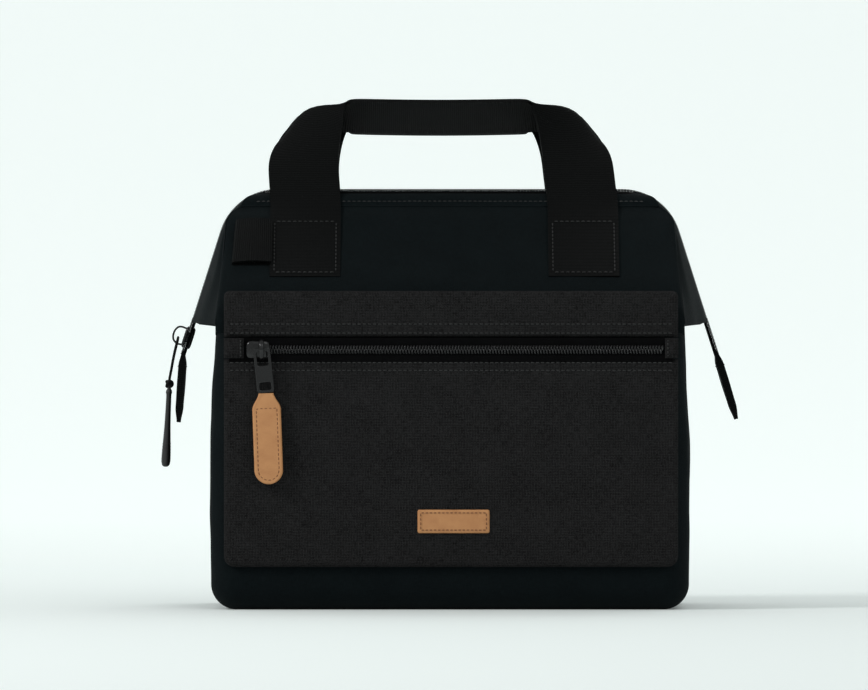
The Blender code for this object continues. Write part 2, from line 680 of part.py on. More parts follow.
def ring_plate(name, outline, hole, y, slot, parent, turn):
    """A flat piece with one hole, swung by turn about its top."""
    bm = bmesh.new()
    loops = []
    for line in (outline, hole):
        loops.append([[bm.verts.new(turn(px, py, pz)) for px, pz in line] for py in y])
    for front_back, loop in enumerate(loops):
        count = len(loop[0])
        for i in range(count):
            j = (i + 1) % count
            bm.faces.new((loop[0][i], loop[0][j], loop[1][j], loop[1][i]))
    count = len(outline)
    for level in (0, 1):
        for i in range(count):
            j = (i + 1) % count
            bm.faces.new((loops[0][level][i], loops[0][level][j], loops[1][level][j], loops[1][level][i]))
    finish_mesh(name, bm, slot, parent)


def pocket_pull(axis_point):
    """Metal puller whose top bar lies in the bail, and the leather tab on its lower end."""
    hinge("pocket_puller", axis_point, "pocket_slider")
    swing = Matrix.Rotation(-6.0 * pi / 180, 3, "Y")

    def turned(px, py, pz):
        return axis_point + swing @ Vector((px, py, pz))

    outline = rounded_outline((-4.6 * MM, -23.0 * MM), (4.6 * MM, 1.0 * MM), 0.9 * MM)
    hole = rounded_outline((-3.1 * MM, -8.6 * MM), (3.1 * MM, -1.0 * MM), 0.9 * MM)
    ring_plate("pocket_puller", outline, hole, (-0.8 * MM, 0.8 * MM), "slider_metal", "pocket_puller", turned)
    tab_axis = turned(0, 0, -23.0 * MM)
    hinge("leather_tab", tab_axis, "pocket_puller")
    lean = Matrix.Rotation(-2.0 * pi / 180, 3, "Y")

    def hung(px, py, pz):
        return tab_axis + lean @ Vector((px, py, pz))

    half_w, waist, length = 7.65 * MM, 4.0 * MM, 49.0 * MM
    outline = [(-waist, -1.1 * MM), (-waist - 0.6 * MM, -3.0 * MM), (-half_w, -8.5 * MM)]
    outline += [(-half_w * cos(a), -length + half_w - half_w * sin(a)) for a in (k * pi / 8 for k in range(9))]
    outline += [(half_w, -8.5 * MM), (waist + 0.6 * MM, -3.0 * MM), (waist, -1.1 * MM)]
    rings = [[hung(px, py, pz) for px, pz in outline] for py in (-1.3 * MM, 1.3 * MM)]
    loft("leather_tab", rings, "tan_leather", "leather_tab")


def build():
    clear()
    lower_bag()
    front_pocket()
    for half in ("front", "back"):
        mouth_half(half)
        handle(half)
    accessory_loop()
    for word, sign, lean in (("left", -1, 4.0), ("right", 1, 17.0)):
        zip_tail(word, sign)
        side_fold(word, sign)
        tail_tab(word, sign, lean)
    main_pull(main_slider())
    pocket_pull(pocket_slider())


build()
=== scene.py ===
"""Looks of the insulated cooler bag: woven shell, webbing handles, zips, leather and stitching.

Every piece is made in metres in the part's own frame, front towards -Y. Most ride on the body they
belong to; the leaning panels, bellows, main zip and handle straps are left unattached.
"""

import json
from math import asin, atan2, cos, pi, sin, tan

import bmesh
import bpy
import numpy as np
from mathutils import Matrix, Vector, noise

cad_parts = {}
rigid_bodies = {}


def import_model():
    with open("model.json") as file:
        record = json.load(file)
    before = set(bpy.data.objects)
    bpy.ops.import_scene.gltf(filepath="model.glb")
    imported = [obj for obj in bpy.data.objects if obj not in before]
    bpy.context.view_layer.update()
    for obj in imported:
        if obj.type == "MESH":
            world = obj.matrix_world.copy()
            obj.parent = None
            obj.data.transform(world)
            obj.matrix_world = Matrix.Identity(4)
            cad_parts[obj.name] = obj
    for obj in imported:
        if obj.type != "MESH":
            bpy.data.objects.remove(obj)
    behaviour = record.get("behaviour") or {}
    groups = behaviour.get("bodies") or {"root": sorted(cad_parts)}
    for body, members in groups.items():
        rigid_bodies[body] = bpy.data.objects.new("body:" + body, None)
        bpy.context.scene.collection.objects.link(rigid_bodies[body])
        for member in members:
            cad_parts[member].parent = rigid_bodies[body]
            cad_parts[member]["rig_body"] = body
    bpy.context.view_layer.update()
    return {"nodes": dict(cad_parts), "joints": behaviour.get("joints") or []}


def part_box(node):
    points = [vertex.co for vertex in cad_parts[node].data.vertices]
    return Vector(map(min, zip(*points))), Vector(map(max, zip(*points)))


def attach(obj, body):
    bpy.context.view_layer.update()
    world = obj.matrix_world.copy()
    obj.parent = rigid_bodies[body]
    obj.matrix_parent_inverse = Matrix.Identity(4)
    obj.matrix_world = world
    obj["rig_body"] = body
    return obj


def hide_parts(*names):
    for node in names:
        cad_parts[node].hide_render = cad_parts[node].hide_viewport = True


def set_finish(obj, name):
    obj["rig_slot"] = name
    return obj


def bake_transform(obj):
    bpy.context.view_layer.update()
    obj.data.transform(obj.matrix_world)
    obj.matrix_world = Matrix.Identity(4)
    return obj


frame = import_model()

MM = 0.001


def joint_at(name):
    """Where a joint sits in the frame."""
    return Vector(next(j for j in frame["joints"] if j["name"] == name)["pos_m"])


# ---- places read from the frame ------------------------------------------------------------
HALF_W = 128.5 * MM
HALF_D = -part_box("outer_front")[0][1]
BEND_Z = next(j for j in frame["joints"] if j["name"] == "mouth_front_hinge")["pos_m"][2]
SIDE_TAPER = 0.024
CORNER_R = 14.0 * MM
TIP_X = 139.5 * MM
TIP_Z = 156.0 * MM
TOP_Z = 226.0 * MM
SHOULDER_X = 117.0 * MM
SHOULDER_R = 16.0 * MM
MOUTH_Y = 5.8 * MM
LEAN = atan2(HALF_D - MOUTH_Y, 225.5 * MM - BEND_Z)
EDGE_LEAN = atan2(TIP_X - SHOULDER_X, TOP_Z - TIP_Z)

WEBBING = 38.0 * MM
PATCH_LOW = 31.0 * MM
PIVOT_T = 87.0 * MM
HANDLE_RISE = 54.8 * MM
SHOULDER_RISE = 33.0 * MM
LEG_BASE = (-59.0 * MM, 53.0 * MM)
LEG_TOP = (-61.6 * MM, 49.4 * MM)
LEANS = {"front": (26.0, 25.0), "back": (42.0, 18.0)}


# ---- materials -------------------------------------------------------------------------------
def srgb(r, g, b):
    return tuple(((c / 255 + 0.055) / 1.055) ** 2.4 if c > 10 else c / 255 / 12.92 for c in (r, g, b))


class Nodes:
    """A small helper that adds and links shader nodes."""

    def __init__(self, name):
        self.material = bpy.data.materials.new(name)
        self.material.use_nodes = True
        self.tree = self.material.node_tree
        self.shader = self.tree.nodes["Principled BSDF"]

    def add(self, kind, values=(), **settings):
        node = self.tree.nodes.new(kind)
        for key, value in settings.items():
            setattr(node, key, value)
        for socket, value in values:
            if isinstance(value, bpy.types.NodeSocket):
                self.tree.links.new(value, node.inputs[socket])
            else:
                node.inputs[socket].default_value = value
        return node

    def math(self, operation, a, b=0.0):
        return self.add("ShaderNodeMath", ((0, a), (1, b)), operation=operation).outputs[0]

    def mix(self, factor, a, b):
        node = self.add("ShaderNodeMix", ((0, factor),), data_type="RGBA")
        for index, colour in ((6, a), (7, b)):
            if isinstance(colour, bpy.types.NodeSocket):
                self.tree.links.new(colour, node.inputs[index])
            else:
                node.inputs[index].default_value = (*colour, 1.0)
        return node.outputs[2]

    def noise(self, vector, scale, detail=2.0):
        return self.add("ShaderNodeTexNoise",
            (("Vector", vector), ("Scale", scale), ("Detail", detail))).outputs[0]

    def bump(self, height, distance, strength=1.0, below=None):
        values = [("Height", height), ("Distance", distance), ("Strength", strength)]
        if below:
            values.append(("Normal", below))
        return self.add("ShaderNodeBump", values).outputs[0]

    def finish(self, colour, roughness, normal, **fixed):
        for socket, value in (("Base Color", colour), ("Roughness", roughness), ("Normal", normal)):
            if isinstance(value, bpy.types.NodeSocket):
                self.tree.links.new(value, self.shader.inputs[socket])
            elif value is not None:
                self.shader.inputs[socket].default_value = (*value, 1.0) if socket == "Base Color" else value
        for socket, value in fixed.items():
            self.shader.inputs[socket.replace("_", " ")].default_value = value
        return self.material


def cloth_place(n):
    """Surface position in metres: the UV map holds lengths along the cloth."""
    return n.add("ShaderNodeUVMap", uv_map="cloth").outputs[0]


def weave(n, uv, pitch_u, pitch_v):
    """Height of a plain weave: warp and weft threads that pass over each other in turn."""
    parts = n.add("ShaderNodeSeparateXYZ", ((0, uv),))
    u = n.math("MULTIPLY", parts.outputs[0], pi / pitch_u)
    v = n.math("MULTIPLY", parts.outputs[1], pi / pitch_v)
    su, sv = n.math("SINE", u), n.math("SINE", v)
    warp, weft = n.math("ABSOLUTE", su), n.math("ABSOLUTE", sv)
    over = n.math("GREATER_THAN", n.math("MULTIPLY", su, sv), 0.0)
    high = n.math("MULTIPLY", over, warp)
    low = n.math("MULTIPLY", n.math("SUBTRACT", 1.0, over), weft)
    return n.math("ADD", high, low), over


def fabric(name, dark, light, pitch, rough, depth, sheen, fleck=0.5):
    n = Nodes(name)
    uv = cloth_place(n)
    height, over = weave(n, uv, pitch, pitch)
    cloud = n.noise(uv, 60.0, 4.0)
    stretched = n.add("ShaderNodeMapping", (("Vector", uv), ("Scale", (2600.0, 260.0, 1.0)))).outputs[0]
    crossed = n.add("ShaderNodeMapping", (("Vector", uv), ("Scale", (260.0, 2600.0, 1.0)))).outputs[0]
    warp = n.noise(stretched, 1.0, 1.0)
    weft = n.noise(crossed, 1.0, 1.0)
    tone = n.add("ShaderNodeMix", ((0, over), (2, warp), (3, weft))).outputs[0]
    tone = n.add("ShaderNodeMapRange", ((0, tone), (1, 0.36), (2, 0.66))).outputs[0]
    tone = n.math("MULTIPLY", tone, fleck)
    lit = n.math("MULTIPLY", n.math("SUBTRACT", height, 0.45), 1.1)
    tone = n.math("ADD", n.math("ADD", tone, lit), n.math("MULTIPLY", n.math("SUBTRACT", cloud, 0.5), 0.5))
    colour = n.mix(n.add("ShaderNodeClamp", ((0, tone),)).outputs[0], dark, light)
    normal = n.bump(height, depth, 0.6, n.bump(cloud, 0.4 * MM, 0.25))
    roughness = n.add("ShaderNodeMapRange", ((0, cloud), (3, rough - 0.06), (4, rough + 0.08))).outputs[0]
    return n.finish(colour, roughness, normal, Sheen_Weight=sheen, Specular_IOR_Level=0.02)


def ribbed(name, dark, light, rib, rough):
    """Webbing: hard ribs across the strap, broken by the warp's fine lines along it."""
    n = Nodes(name)
    uv = cloth_place(n)
    parts = n.add("ShaderNodeSeparateXYZ", ((0, uv),))
    wander = n.math("MULTIPLY", n.noise(uv, 220.0, 2.0), 0.9)
    across = n.math("SINE", n.math("ADD", n.math("MULTIPLY", parts.outputs[1], 2 * pi / rib), wander))
    along = n.math("SINE", n.math("MULTIPLY", parts.outputs[0], 2 * pi / (0.8 * MM)))
    height = n.math("ADD", across, n.math("MULTIPLY", along, 0.25))
    fuzz = n.noise(uv, 1800.0, 2.0)
    # The colour follows the rib height: painted highlight on the rib crests and painted shade in the grooves,
    # plus random fuzz in the tone.
    tone = n.add("ShaderNodeMapRange", ((0, n.math("ADD", height, fuzz)), (1, -0.9), (2, 2.0))).outputs[0]
    colour = n.mix(tone, dark, light)
    normal = n.bump(height, 0.16 * MM, 0.7, n.bump(fuzz, 0.1 * MM, 0.3))
    return n.finish(colour, rough, normal, Specular_IOR_Level=0.05)


def leather(name, base, dark):
    n = Nodes(name)
    uv = cloth_place(n)
    grain = n.add("ShaderNodeTexVoronoi", (("Vector", uv), ("Scale", 1500.0)),
        feature="DISTANCE_TO_EDGE").outputs[0]
    cloud = n.noise(uv, 110.0, 5.0)
    fine = n.noise(uv, 900.0, 3.0)
    tone = n.add("ShaderNodeMapRange", ((0, cloud), (1, 0.35), (2, 0.7))).outputs[0]
    colour = n.mix(n.math("MULTIPLY", tone, 0.55), base, dark)
    colour = n.mix(n.math("MULTIPLY", n.math("SUBTRACT", 0.5, fine), 0.5), colour, dark)
    pore = n.add("ShaderNodeMapRange", ((0, grain), (1, 0.0), (2, 0.12))).outputs[0]
    normal = n.bump(pore, 0.05 * MM, 0.5, n.bump(cloud, 0.25 * MM, 0.3))
    return n.finish(colour, 0.55, normal, Specular_IOR_Level=0.4)


def plain(name, base, rough, metallic=0.0, bump_scale=400.0, bump_depth=0.04 * MM, vary=0.25, **fixed):
    """Moulded or metal pieces: fine speckle in the surface, and uneven gloss."""
    n = Nodes(name)
    place = n.add("ShaderNodeTexCoord").outputs["Object"]
    speck = n.noise(place, bump_scale, 3.0)
    cloud = n.noise(place, 60.0, 3.0)
    light = tuple(min(1.0, c * (1 + vary)) for c in base)
    dark = tuple(c * (1 - vary) for c in base)
    colour = n.mix(cloud, dark, light)
    roughness = n.add("ShaderNodeMapRange", ((0, speck), (3, rough - 0.08), (4, rough + 0.12))).outputs[0]
    return n.finish(colour, roughness, n.bump(speck, bump_depth, 0.4), Metallic=metallic, **fixed)


def stage_material(name, colour):
    """Matt paper that is lit a little more where it rises behind the bag, so that it reads as one tone."""
    n = Nodes(name)
    geometry = n.add("ShaderNodeNewGeometry")
    place = n.add("ShaderNodeSeparateXYZ", ((0, geometry.outputs["Position"]),))
    glow = n.add("ShaderNodeMapRange", ((0, place.outputs[1]), (1, 0.0), (2, 2.6), (3, 0.06), (4, 0.36)))
    n.shader.inputs["Emission Color"].default_value = (0.955, 0.99, 0.98, 1.0)
    n.tree.links.new(glow.outputs[0], n.shader.inputs["Emission Strength"])
    made = n.finish(colour, 0.9, None, Specular_IOR_Level=0.1)
    # Seen from behind the paper is clear, so that it never hides the bag.
    clear = n.tree.nodes.new("ShaderNodeBsdfTransparent")
    mix = n.tree.nodes.new("ShaderNodeMixShader")
    n.tree.links.new(geometry.outputs["Backfacing"], mix.inputs[0])
    n.tree.links.new(n.shader.outputs[0], mix.inputs[1])
    n.tree.links.new(clear.outputs[0], mix.inputs[2])
    n.tree.links.new(mix.outputs[0], n.tree.nodes["Material Output"].inputs["Surface"])
    return made


MATERIALS = {
    "outer": fabric("outer_weave", (0.0018, 0.0030, 0.0034), (0.0070, 0.0108, 0.0120), 0.42 * MM, 0.8,
        0.09 * MM, 0.02, 0.5),
    "canvas": fabric("pocket_canvas", (0.0006, 0.0006, 0.0006), (0.0240, 0.0236, 0.0240), 0.84 * MM, 0.86,
        0.24 * MM, 0.0, 0.9),
    "tape": fabric("zip_tape_weave", (0.001, 0.001, 0.0011), (0.005, 0.005, 0.0054), 0.5 * MM, 0.75,
        0.1 * MM, 0.0, 0.4),
    "webbing": ribbed("webbing_ribs", (0.0010, 0.0011, 0.0011), (0.0072, 0.0078, 0.0078), 1.1 * MM, 0.66),
    "thread": plain("thread_black", (0.0125, 0.013, 0.013), 0.4, bump_scale=3000.0),
    "tan_thread": plain("thread_brown", srgb(120, 76, 42), 0.6, bump_scale=3000.0),
    "coil": plain("coil_nylon", (0.012, 0.012, 0.0125), 0.24, bump_scale=2000.0, bump_depth=0.01 * MM),
    "metal": plain("black_nickel", (0.007, 0.007, 0.0075), 0.2, metallic=0.2, bump_scale=900.0,
        bump_depth=0.02 * MM),
    "steel": plain("spring_steel_wire", (0.5, 0.5, 0.5), 0.3, metallic=1.0),
    "rubber": plain("grip_rubber", (0.008, 0.008, 0.0085), 0.42, bump_scale=1500.0),
    "cord": ribbed("cord_braid", (0.004, 0.004, 0.004), (0.02, 0.02, 0.02), 0.7 * MM, 0.6),
    "leather": leather("tan_leather", srgb(190, 136, 88), srgb(160, 104, 62)),
    "leather_edge": plain("leather_edge", srgb(150, 98, 58), 0.7, bump_scale=1600.0),
    "liner": fabric("liner_film", (0.33, 0.34, 0.345), (0.5, 0.51, 0.52), 1.4 * MM, 0.4, 0.12 * MM, 0.0, 0.3),
    "foam": plain("insulation_foam", (0.55, 0.56, 0.57), 0.9, bump_scale=1200.0, bump_depth=0.2 * MM,
        vary=0.08),
    "board": plain("stiffener_board", (0.03, 0.03, 0.03), 0.6),
}


# ---- mesh helpers ----------------------------------------------------------------------------
def make_piece(name, verts, faces, uvs, material, smooth=True, sharp=None):
    """uvs gives each vertex its place on the flat cloth, in metres."""
    mesh = bpy.data.meshes.new(name)
    mesh.from_pydata([tuple(v) for v in verts], [], faces)
    mesh.update()
    layer = mesh.uv_layers.new(name="cloth")
    picked = np.array(uvs, np.float32)[[loop.vertex_index for loop in mesh.loops]]
    layer.data.foreach_set("uv", picked.ravel())
    if smooth:
        mesh.shade_smooth()
        if sharp:
            mesh.set_sharp_from_angle(angle=sharp)
    mesh.materials.append(MATERIALS[material])
    piece = bpy.data.objects.new(name, mesh)
    bpy.context.scene.collection.objects.link(piece)
    return piece


def grid_normals(points):
    """Unit normals of a grid of points, from its own neighbours."""
    grid = np.array([[tuple(p) for p in row] for row in points])
    du = np.gradient(grid, axis=0)
    dv = np.gradient(grid, axis=1)
    normal = np.cross(du, dv)
    return grid, normal / np.maximum(np.linalg.norm(normal, axis=2, keepdims=True), 1e-12)


def flat_lengths(grid):
    """The grid's two running lengths, measured along its middle lines."""
    rows, columns = grid.shape[:2]
    down = np.linalg.norm(np.diff(grid[:, columns // 2], axis=0), axis=1)
    across = np.linalg.norm(np.diff(grid[rows // 2], axis=0), axis=1)
    return np.concatenate(([0], np.cumsum(down))), np.concatenate(([0], np.cumsum(across)))


def sheet_piece(name, points, thickness, material, body, slot, turn=False, sharp=1.0, mirror=False):
    """A closed sheet of cloth: the outside is the grid, the inside lies thickness behind it.
    The grid's normal, first index cross second, points out of the bag; turn flips it."""
    if mirror:
        points = [[Vector((p[0], -p[1], p[2])) for p in row] for row in points]
        turn = not turn
    grid, normals = grid_normals(points)
    if turn:
        normals = -normals
    down, across = flat_lengths(grid)
    rows, columns = grid.shape[:2]
    outside = grid.reshape(-1, 3)
    inside = (grid - normals * thickness).reshape(-1, 3)
    verts = np.concatenate((outside, inside))
    uv = np.array([(across[j], down[i]) for i in range(rows) for j in range(columns)])
    faces = []
    base = rows * columns

    def at(i, j, level=0):
        return level * base + i * columns + j

    def quad(a, b, c, d):
        faces.append((a, d, c, b) if turn else (a, b, c, d))

    for i in range(rows - 1):
        for j in range(columns - 1):
            quad(at(i, j), at(i + 1, j), at(i + 1, j + 1), at(i, j + 1))
            quad(at(i, j, 1), at(i, j + 1, 1), at(i + 1, j + 1, 1), at(i + 1, j, 1))
    rim = [(i, 0) for i in range(rows)] + [(rows - 1, j) for j in range(1, columns)]
    rim += [(i, columns - 1) for i in range(rows - 2, -1, -1)] + [(0, j) for j in range(columns - 2, 0, -1)]
    for (a, b), (c, d) in zip(rim, rim[1:] + rim[:1]):
        quad(at(a, b), at(a, b, 1), at(c, d, 1), at(c, d))
    piece = make_piece(name, verts, faces, np.concatenate((uv, uv)), material, sharp=sharp)
    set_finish(piece, slot)
    if body:
        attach(piece, body)
    return piece


def stitch_row(name, route, material, body, slot, pitch=2.7 * MM, width=0.62 * MM, rise=0.2 * MM):
    """Thread lying in short lengths along a route of (point, outward normal)."""
    points = np.array([tuple(p) for p, _ in route])
    outs = np.array([tuple(n) for _, n in route])
    run = np.concatenate(([0], np.cumsum(np.linalg.norm(np.diff(points, axis=0), axis=1))))
    count = max(1, int(run[-1] / pitch))
    verts, faces, uvs = [], [], []
    for k in range(count):
        middle = (k + 0.5) * run[-1] / count
        ends = [middle - pitch * 0.36, middle + pitch * 0.36]
        a, b = (Vector([np.interp(e, run, points[:, c]) for c in range(3)]) for e in ends)
        out = Vector([np.interp(middle, run, outs[:, c]) for c in range(3)]).normalized()
        along = (b - a).normalized()
        side = along.cross(out).normalized()
        first = len(verts)
        for share, swell, lift in ((0.0, 0.35, -0.1), (0.18, 0.9, 0.6), (0.5, 1.0, 1.0), (0.82, 0.9, 0.6),
            (1.0, 0.35, -0.1)):
            centre = a.lerp(b, share) + out * rise * lift
            for turn in range(6):
                angle = turn * pi / 3
                verts.append(centre + (side * cos(angle) + out * sin(angle) * 0.7) * width / 2 * swell)
                uvs.append((angle * width / 6, share * pitch))
        for ring in range(4):
            for turn in range(6):
                a0, a1 = first + ring * 6 + turn, first + ring * 6 + (turn + 1) % 6
                faces.append((a0, a1, a1 + 6, a0 + 6))
        faces.append(tuple(first + 5 - turn for turn in range(6)))
        faces.append(tuple(first + 24 + turn for turn in range(6)))
    piece = make_piece(name, verts, faces, uvs, material)
    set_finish(piece, slot)
    if body:
        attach(piece, body)
    return piece


def join_pieces(name, made):
    """One piece from several that share a material, slot and body."""
    verts, faces, uvs = [], [], []
    for piece in made:
        offset = len(verts)
        mesh = piece.data
        verts += [v.co.copy() for v in mesh.vertices]
        places = np.zeros((len(mesh.vertices), 2))
        for loop, item in zip(mesh.loops, mesh.uv_layers["cloth"].data):
            places[loop.vertex_index] = item.uv
        uvs += list(places)
        faces += [tuple(offset + v for v in p.vertices) for p in mesh.polygons]
    material = made[0].data.materials[0]
    slot, body = made[0].get("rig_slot"), made[0].get("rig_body")
    for piece in made:
        bpy.data.objects.remove(piece, do_unlink=True)
    key = next(k for k, m in MATERIALS.items() if m == material)
    piece = make_piece(name, verts, faces, uvs, key)
    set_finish(piece, slot)
    if body:
        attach(piece, body)
    return piece


def wrinkle(point, size, seed):
    """Smooth unevenness between -1 and 1 at a place."""
    return noise.noise(Vector((point[0] / size + seed, point[1] / size, point[2] / size - seed)))


def ease(x):
    x = max(0.0, min(1.0, x))
    return x * x * (3 - 2 * x)


# ---- stage -----------------------------------------------------------------------------------
def make_stage():
    scene = bpy.context.scene
    scene.view_settings.view_transform = "Standard"
    # The frame is 464 mm wide at the bag's front, seen level from far off.
    wide, distance = 464.4 * MM, 5.0
    data = bpy.data.cameras.new("camera")
    data.lens = data.sensor_width * distance / wide
    data.clip_end = 50.0
    camera = bpy.data.objects.new("camera", data)
    scene.collection.objects.link(camera)
    camera.location = (-8.6 * MM, -HALF_D - distance, 141.8 * MM)
    camera.rotation_euler = (pi / 2, 0, 0)
    scene.camera = camera
    points = []
    for i in range(25):
        turn = i / 24 * pi / 2
        points.append((2.4 + 1.2 * sin(turn), 1.2 - 1.2 * cos(turn)))
    profile = [(-9.0, 0.0), (1.0, 0.0)] + points + [(3.6, 5.0)]
    verts = [(x, y, z) for y, z in profile for x in (-7.0, 7.0)]
    faces = [(2 * i, 2 * i + 1, 2 * i + 3, 2 * i + 2) for i in range(len(profile) - 1)]
    mesh = bpy.data.meshes.new("floor")
    mesh.from_pydata(verts, [], faces)
    mesh.shade_smooth()
    mesh.materials.append(stage_material("pale_floor", (0.80, 0.85, 0.838)))
    floor = bpy.data.objects.new("floor", mesh)
    scene.collection.objects.link(floor)
    world = bpy.data.worlds.new("studio")
    scene.world = world
    world.use_nodes = True
    background = world.node_tree.nodes["Background"]
    background.inputs[0].default_value = (0.955, 0.995, 0.985, 1.0)
    background.inputs[1].default_value = 0.5
    lamps = (
        ("key", (-1.8, -1.1, 1.5), 0.5, 24.0),
        ("fill", (0.9, -2.4, 2.0), 1.6, 13.0),
        ("rim", (0.3, 1.4, 2.0), 1.4, 8.0),
    )
    for name, place, size, power in lamps:
        lamp = bpy.data.lights.new(name, "AREA")
        lamp.size = size
        lamp.energy = power
        thing = bpy.data.objects.new(name, lamp)
        scene.collection.objects.link(thing)
        thing.location = place
        thing.rotation_euler = (Vector((0, 0, 0.12)) - thing.location).to_track_quat("-Z", "Y").to_euler()


# ---- the closed mouth's outline -----------------------------------------------------------------
def arc_corner(before, corner, after, radius, steps):
    to_a, to_b = (before - corner).normalized(), (after - corner).normalized()
    half = asin((to_a - to_b).length / 2)
    middle = corner + (to_a + to_b).normalized() * (radius / sin(half))
    start = (corner + to_a * radius / tan(half) - middle).normalized()
    end = (corner + to_b * radius / tan(half) - middle).normalized()
    return [middle + start.slerp(end, k / steps) * radius for k in range(steps + 1)]


def resample(points, count):
    """Evenly spaced points along a route."""
    array = np.array([tuple(p) for p in points])
    run = np.concatenate(([0], np.cumsum(np.linalg.norm(np.diff(array, axis=0), axis=1))))
    wanted = np.linspace(0, run[-1], count)
    return [Vector([np.interp(w, run, array[:, c]) for c in range(3)]) for w in wanted]


def half_edge(sign, count):
    """The mouth's edge in the plane y = 0 from one tip up to the middle of the top."""
    tip = Vector((sign * TIP_X, 0, TIP_Z - 0.6 * MM))
    corner = Vector((sign * SHOULDER_X, 0, TOP_Z))
    middle = Vector((0, 0, TOP_Z))
    route = [tip] + arc_corner(tip, corner, middle, 2 * SHOULDER_R, 16) + [middle]
    return resample(route, count)


def mouth_edge(count):
    left = half_edge(-1, count)
    right = half_edge(1, count)
    return left + list(reversed(right[:-1]))


def edge_outward(path):
    outs = []
    for i in range(len(path)):
        along = path[min(i + 1, len(path) - 1)] - path[max(i - 1, 0)]
        outs.append(Vector((-along.z, 0, along.x)).normalized())
    return outs


def on_panel(x, t, depth=0.0):
    return Vector((x, -HALF_D + t * sin(LEAN) + depth * cos(LEAN),
        BEND_Z + t * cos(LEAN) - depth * sin(LEAN)))


HANDLE_PIVOT = on_panel(0, PIVOT_T, -1.3 * MM)


def blend_mouth(piece):
    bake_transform(piece)
    return piece


# ---- lower bag ------------------------------------------------------------------------------------
def shell_point(angle_run, z):
    """The lower shell at a share of its way round, 0 to 1 from the middle of the back, and height z."""
    half_x, half_y = HALF_W, HALF_D - 0.4 * MM
    straight_x, straight_y = half_x - CORNER_R, half_y - CORNER_R
    quarter = pi / 2 * CORNER_R
    sides = [straight_x, quarter, 2 * straight_y, quarter, 2 * straight_x, quarter, 2 * straight_y, quarter,
        straight_x]
    left = angle_run * sum(sides)
    for index, length in enumerate(sides):
        if left <= length or index == len(sides) - 1:
            break
        left -= length
    share = left / length
    turn = share * pi / 2
    if index in (0, 8):
        x = -share * straight_x if index == 0 else (1 - share) * straight_x
        place, out = (x, half_y), (0, 1)
    elif index == 4:
        place, out = (-straight_x + 2 * straight_x * share, -half_y), (0, -1)
    elif index == 2:
        place, out = (-half_x, straight_y - 2 * straight_y * share), (-1, 0)
    elif index == 6:
        place, out = (half_x, -straight_y + 2 * straight_y * share), (1, 0)
    else:
        centre, first = {1: ((-1, 1), pi / 2), 3: ((-1, -1), pi), 5: ((1, -1), -pi / 2),
            7: ((1, 1), 0.0)}[index]
        out = (cos(first + turn), sin(first + turn))
        place = (centre[0] * straight_x + CORNER_R * out[0], centre[1] * straight_y + CORNER_R * out[1])
    return Vector((*place, z)), Vector((*out, 0.0))


def lower_shell():
    """The woven outside below the bend: round lower edges, soft flat sides that lean and sag a little."""
    around, up = 260, 74
    top = BEND_Z - 1.5 * MM
    grid = []
    for i in range(up + 1):
        row = []
        for j in range(around + 1):
            place, out = shell_point(j / around, 0.0)
            share = i / up
            if share < 0.16:
                turn = share / 0.16 * pi / 2
                z = CORNER_R * (1 - cos(turn))
                drawn = CORNER_R * (1 - sin(turn))
                point = place - out * drawn
            else:
                z = CORNER_R + (share - 0.16) / 0.84 * (top - CORNER_R)
                point = place.copy()
            point.z = z
            rise = max(0.0, (z - CORNER_R) / (top - CORNER_R))
            side = abs(out.x) > 0.9
            swell = (2.6 if side else 1.4) * MM * sin(pi * rise) ** 1.2
            along = abs(point.y) / HALF_D if side else abs(point.x) / HALF_W
            point += out * swell * max(0.0, 1 - along**4)
            bumpy = wrinkle(point, 34 * MM, 3.1) * 0.8 + wrinkle(point, 13 * MM, 8.4) * 0.3
            point += out * bumpy * MM * (0.9 if side else 0.5) * ease(rise * 6)
            point.x *= 1 - SIDE_TAPER * point.z / BEND_Z
            row.append(point)
        grid.append(row)
    grid = [row[:-1] + [row[0]] for row in grid]
    shell = closed_tube_shell("lower_shell", grid, 1.3 * MM)
    base_skin(grid[0])
    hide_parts(*(f"outer_{f}" for f in ("front", "back", "left", "right")))
    return grid


def closed_tube_shell(name, grid, thickness):
    """A wall of cloth that runs right round, closed at its rim and at its lower edge."""
    array = np.array([[tuple(p) for p in row] for row in grid])
    wrapped = np.concatenate((array[:, -2:-1], array, array[:, 1:2]), axis=1)
    normal = np.cross(np.gradient(wrapped, axis=0), np.gradient(wrapped, axis=1))[:, 1:-1]
    normal /= np.maximum(np.linalg.norm(normal, axis=2, keepdims=True), 1e-12)
    middle = array.mean(axis=(0, 1))
    if ((array - middle) * normal).sum() < 0:
        normal = -normal
    down, across = flat_lengths(array)
    rows, columns = array.shape[:2]
    inner = array - normal * thickness
    verts = np.concatenate((array.reshape(-1, 3), inner.reshape(-1, 3)))
    uv = np.array([(across[j], down[i]) for i in range(rows) for j in range(columns)])
    faces = []
    base = rows * columns
    for i in range(rows - 1):
        for j in range(columns - 1):
            a, b, c, d = i * columns + j, i * columns + j + 1, (i + 1) * columns + j + 1, (i + 1) * columns + j
            faces += [(a, d, c, b), (base + a, base + b, base + c, base + d)]
    for i, flip in ((0, False), (rows - 1, True)):
        for j in range(columns - 1):
            a, b = i * columns + j, i * columns + j + 1
            ring = (a, b, base + b, base + a)
            faces.append(tuple(reversed(ring)) if flip else ring)
    piece = make_piece(name, verts, faces, np.concatenate((uv, uv)), "outer")
    clean(piece)
    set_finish(piece, "outer_fabric")
    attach(piece, "body")
    return piece


def clean(piece):
    """Joins points that lie on each other and turns every face outwards."""
    bm = bmesh.new()
    bm.from_mesh(piece.data)
    bmesh.ops.remove_doubles(bm, verts=bm.verts, dist=1e-6)
    bmesh.ops.recalc_face_normals(bm, faces=bm.faces)
    bm.to_mesh(piece.data)
    bm.free()


